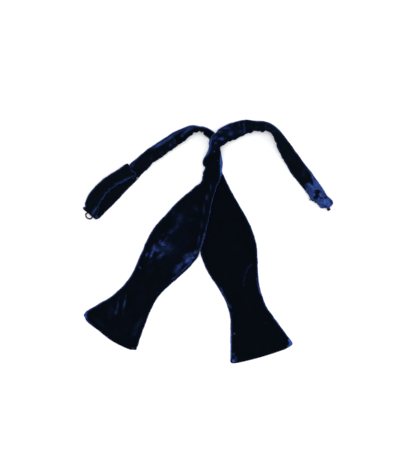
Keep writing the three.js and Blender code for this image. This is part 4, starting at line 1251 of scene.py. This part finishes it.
def dark_metal():
    material, tree, shader = nodes_of("dark_metal")
    wear = noise(tree, 700, 3)
    inputs = {
        "Base Color": colour_mix(tree, wear, METAL_DARK, METAL_WORN),
        "Roughness": math_node(tree, "MULTIPLY_ADD", wear, 0.2, 0.28),
        "Metallic": 1.0,
    }
    feed(tree, shader, inputs)
    shader.inputs["Specular Tint"].default_value = (0.1, 0.1, 0.12, 1)
    return material


def thread(name, dark, light):
    """Spun thread or fibre, in two shades."""
    material, tree, shader = nodes_of(name)
    ply = noise(tree, 2600, 2)
    inputs = {
        "Base Color": colour_mix(tree, ply, dark, light),
        "Normal": bumped(tree, ply, 0.5, 0.0002),
        "Roughness": math_node(tree, "MULTIPLY_ADD", ply, 0.2, 0.7),
    }
    feed(tree, shader, inputs)
    shader.inputs["Specular IOR Level"].default_value = 0.0
    return material


def dress(made, material, node=None):
    """Gives a piece its material and its body, and hides the CAD node that it stands for."""
    made.data.materials.append(material)
    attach(made, "root")
    if node:
        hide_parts(node)


def add_camera():
    data = bpy.data.cameras.new("camera")
    data.sensor_fit = "HORIZONTAL"
    data.sensor_width = SENSOR_WIDTH
    data.lens = SENSOR_WIDTH * CAMERA_HEIGHT / (IMAGE_WIDTH * MM_PER_PIXEL)
    data.clip_end = 20
    camera = in_scene("camera", data)
    camera.location = (np.array([*VIEW_CENTRE, CAMERA_HEIGHT]) - LAYOUT_CENTRE) * MM
    bpy.context.scene.camera = camera


def add_floor():
    mesh = bpy.data.meshes.new("floor")
    corners = [(x * FLOOR_REACH, y * FLOOR_REACH, 0) for x, y in ((-1, -1), (1, -1), (1, 1), (-1, 1))]
    mesh.from_pydata(corners, [], [(0, 1, 2, 3)])
    floor = in_scene("floor", mesh)
    material, tree, shader = nodes_of("floor_white")
    feed(tree, shader, {"Base Color": FLOOR_WHITE, "Roughness": 1.0})
    shader.inputs["Specular IOR Level"].default_value = 0.0
    mesh.materials.append(material)


def add_light():
    world = bpy.data.worlds.new("studio")
    world.use_nodes = True
    feed(world.node_tree, world.node_tree.nodes["Background"], {"Color": SKY, "Strength": SKY_STRENGTH})
    bpy.context.scene.world = world
    for row in rows_of(LIGHT_COLUMNS, LIGHTS):
        data = bpy.data.lights.new(row["name"], "AREA")
        data.shape = "DISK"
        data.size, data.energy = row["size"], row["energy"]
        light = in_scene(row["name"], data)
        light.location = (row["aside"], 0, row["height"])
        light.rotation_euler = (0, math.atan2(row["aside"], row["height"]), 0)
    bpy.context.scene.view_settings.view_transform = "Standard"
    bpy.context.scene.view_settings.look = "None"


lower = half(
    LOWER_ROWS, LOWER_AXIS, "lower", LOWER_END_BOW, LOWER_FOLD, LOWER_RETURN,
    "left_neckband", "right_blade",
)
upper = half(
    UPPER_ROWS, UPPER_AXIS, "upper", UPPER_END_BOW, UPPER_FOLD, UPPER_RETURN,
    "right_neckband", "left_blade",
)

# The upper half drapes over the lower one's flat part, and is raised over all of it.
upper_blade = upper["blade"]["points"]
flat = upper_blade.reshape(-1, 3)
depth = inside_by(flat[:, 0], flat[:, 1], plan_outline(lower["curve"])).reshape(upper_blade.shape[:2])
upper_blade[..., 2] += (BLADE_THICK + CROWN + DRAPE_GAP) * smoothstep(-DRAPE_REACH, DRAPE_INSET, depth)
raise_over(upper_blade, lower["blade"]["points"])

velvets = {"blade": velvet("blade_velvet", 0.22, 1.0), "band": velvet("band_velvet", 0.24, 1.25)}
for node, source, part in (
    ("right_blade", lower, "blade"),
    ("left_neckband", lower, "band"),
    ("left_blade", upper, "blade"),
    ("right_neckband", upper, "band"),
):
    strip = source[part]
    made = cloth_mesh(node + "_velvet", node, strip)
    dress(made, velvets[part], node)

metal = dark_metal()
lowest = (-np.inf, -np.inf, WIRE_SHOWN / 2 + WIRE_OFF_FLOOR)
for node, points in (("eye", eye_points()), ("hook", hook_points())):
    made = strands(node + "_wire", [[np.maximum(point, lowest) for point in points]], WIRE_SHOWN)
    dress(made, metal, node)

cloth = upper["band"]["points"].reshape(-1, 3)
blades = np.concatenate([flat, lower["blade"]["points"].reshape(-1, 3)])
dark_thread = thread("dark_thread", THREAD_DARK, THREAD_LIGHT)
grey_fibre = thread("grey_fibre", FIBRE_DARK, FIBRE_LIGHT)
for name, paths, diameter, material in (
    ("hook_stitches", [stitch_points(path, cloth) for path in STITCHES], THREAD_DIAMETER, dark_thread),
    ("loose_fibres", tuft_paths(), FIBRE_DIAMETER, grey_fibre),
    ("lint", [stitch_points(path, blades) for path in LINT], FIBRE_DIAMETER, grey_fibre),
):
    dress(strands(name, paths, diameter), material)

add_camera()
add_floor()
add_light()
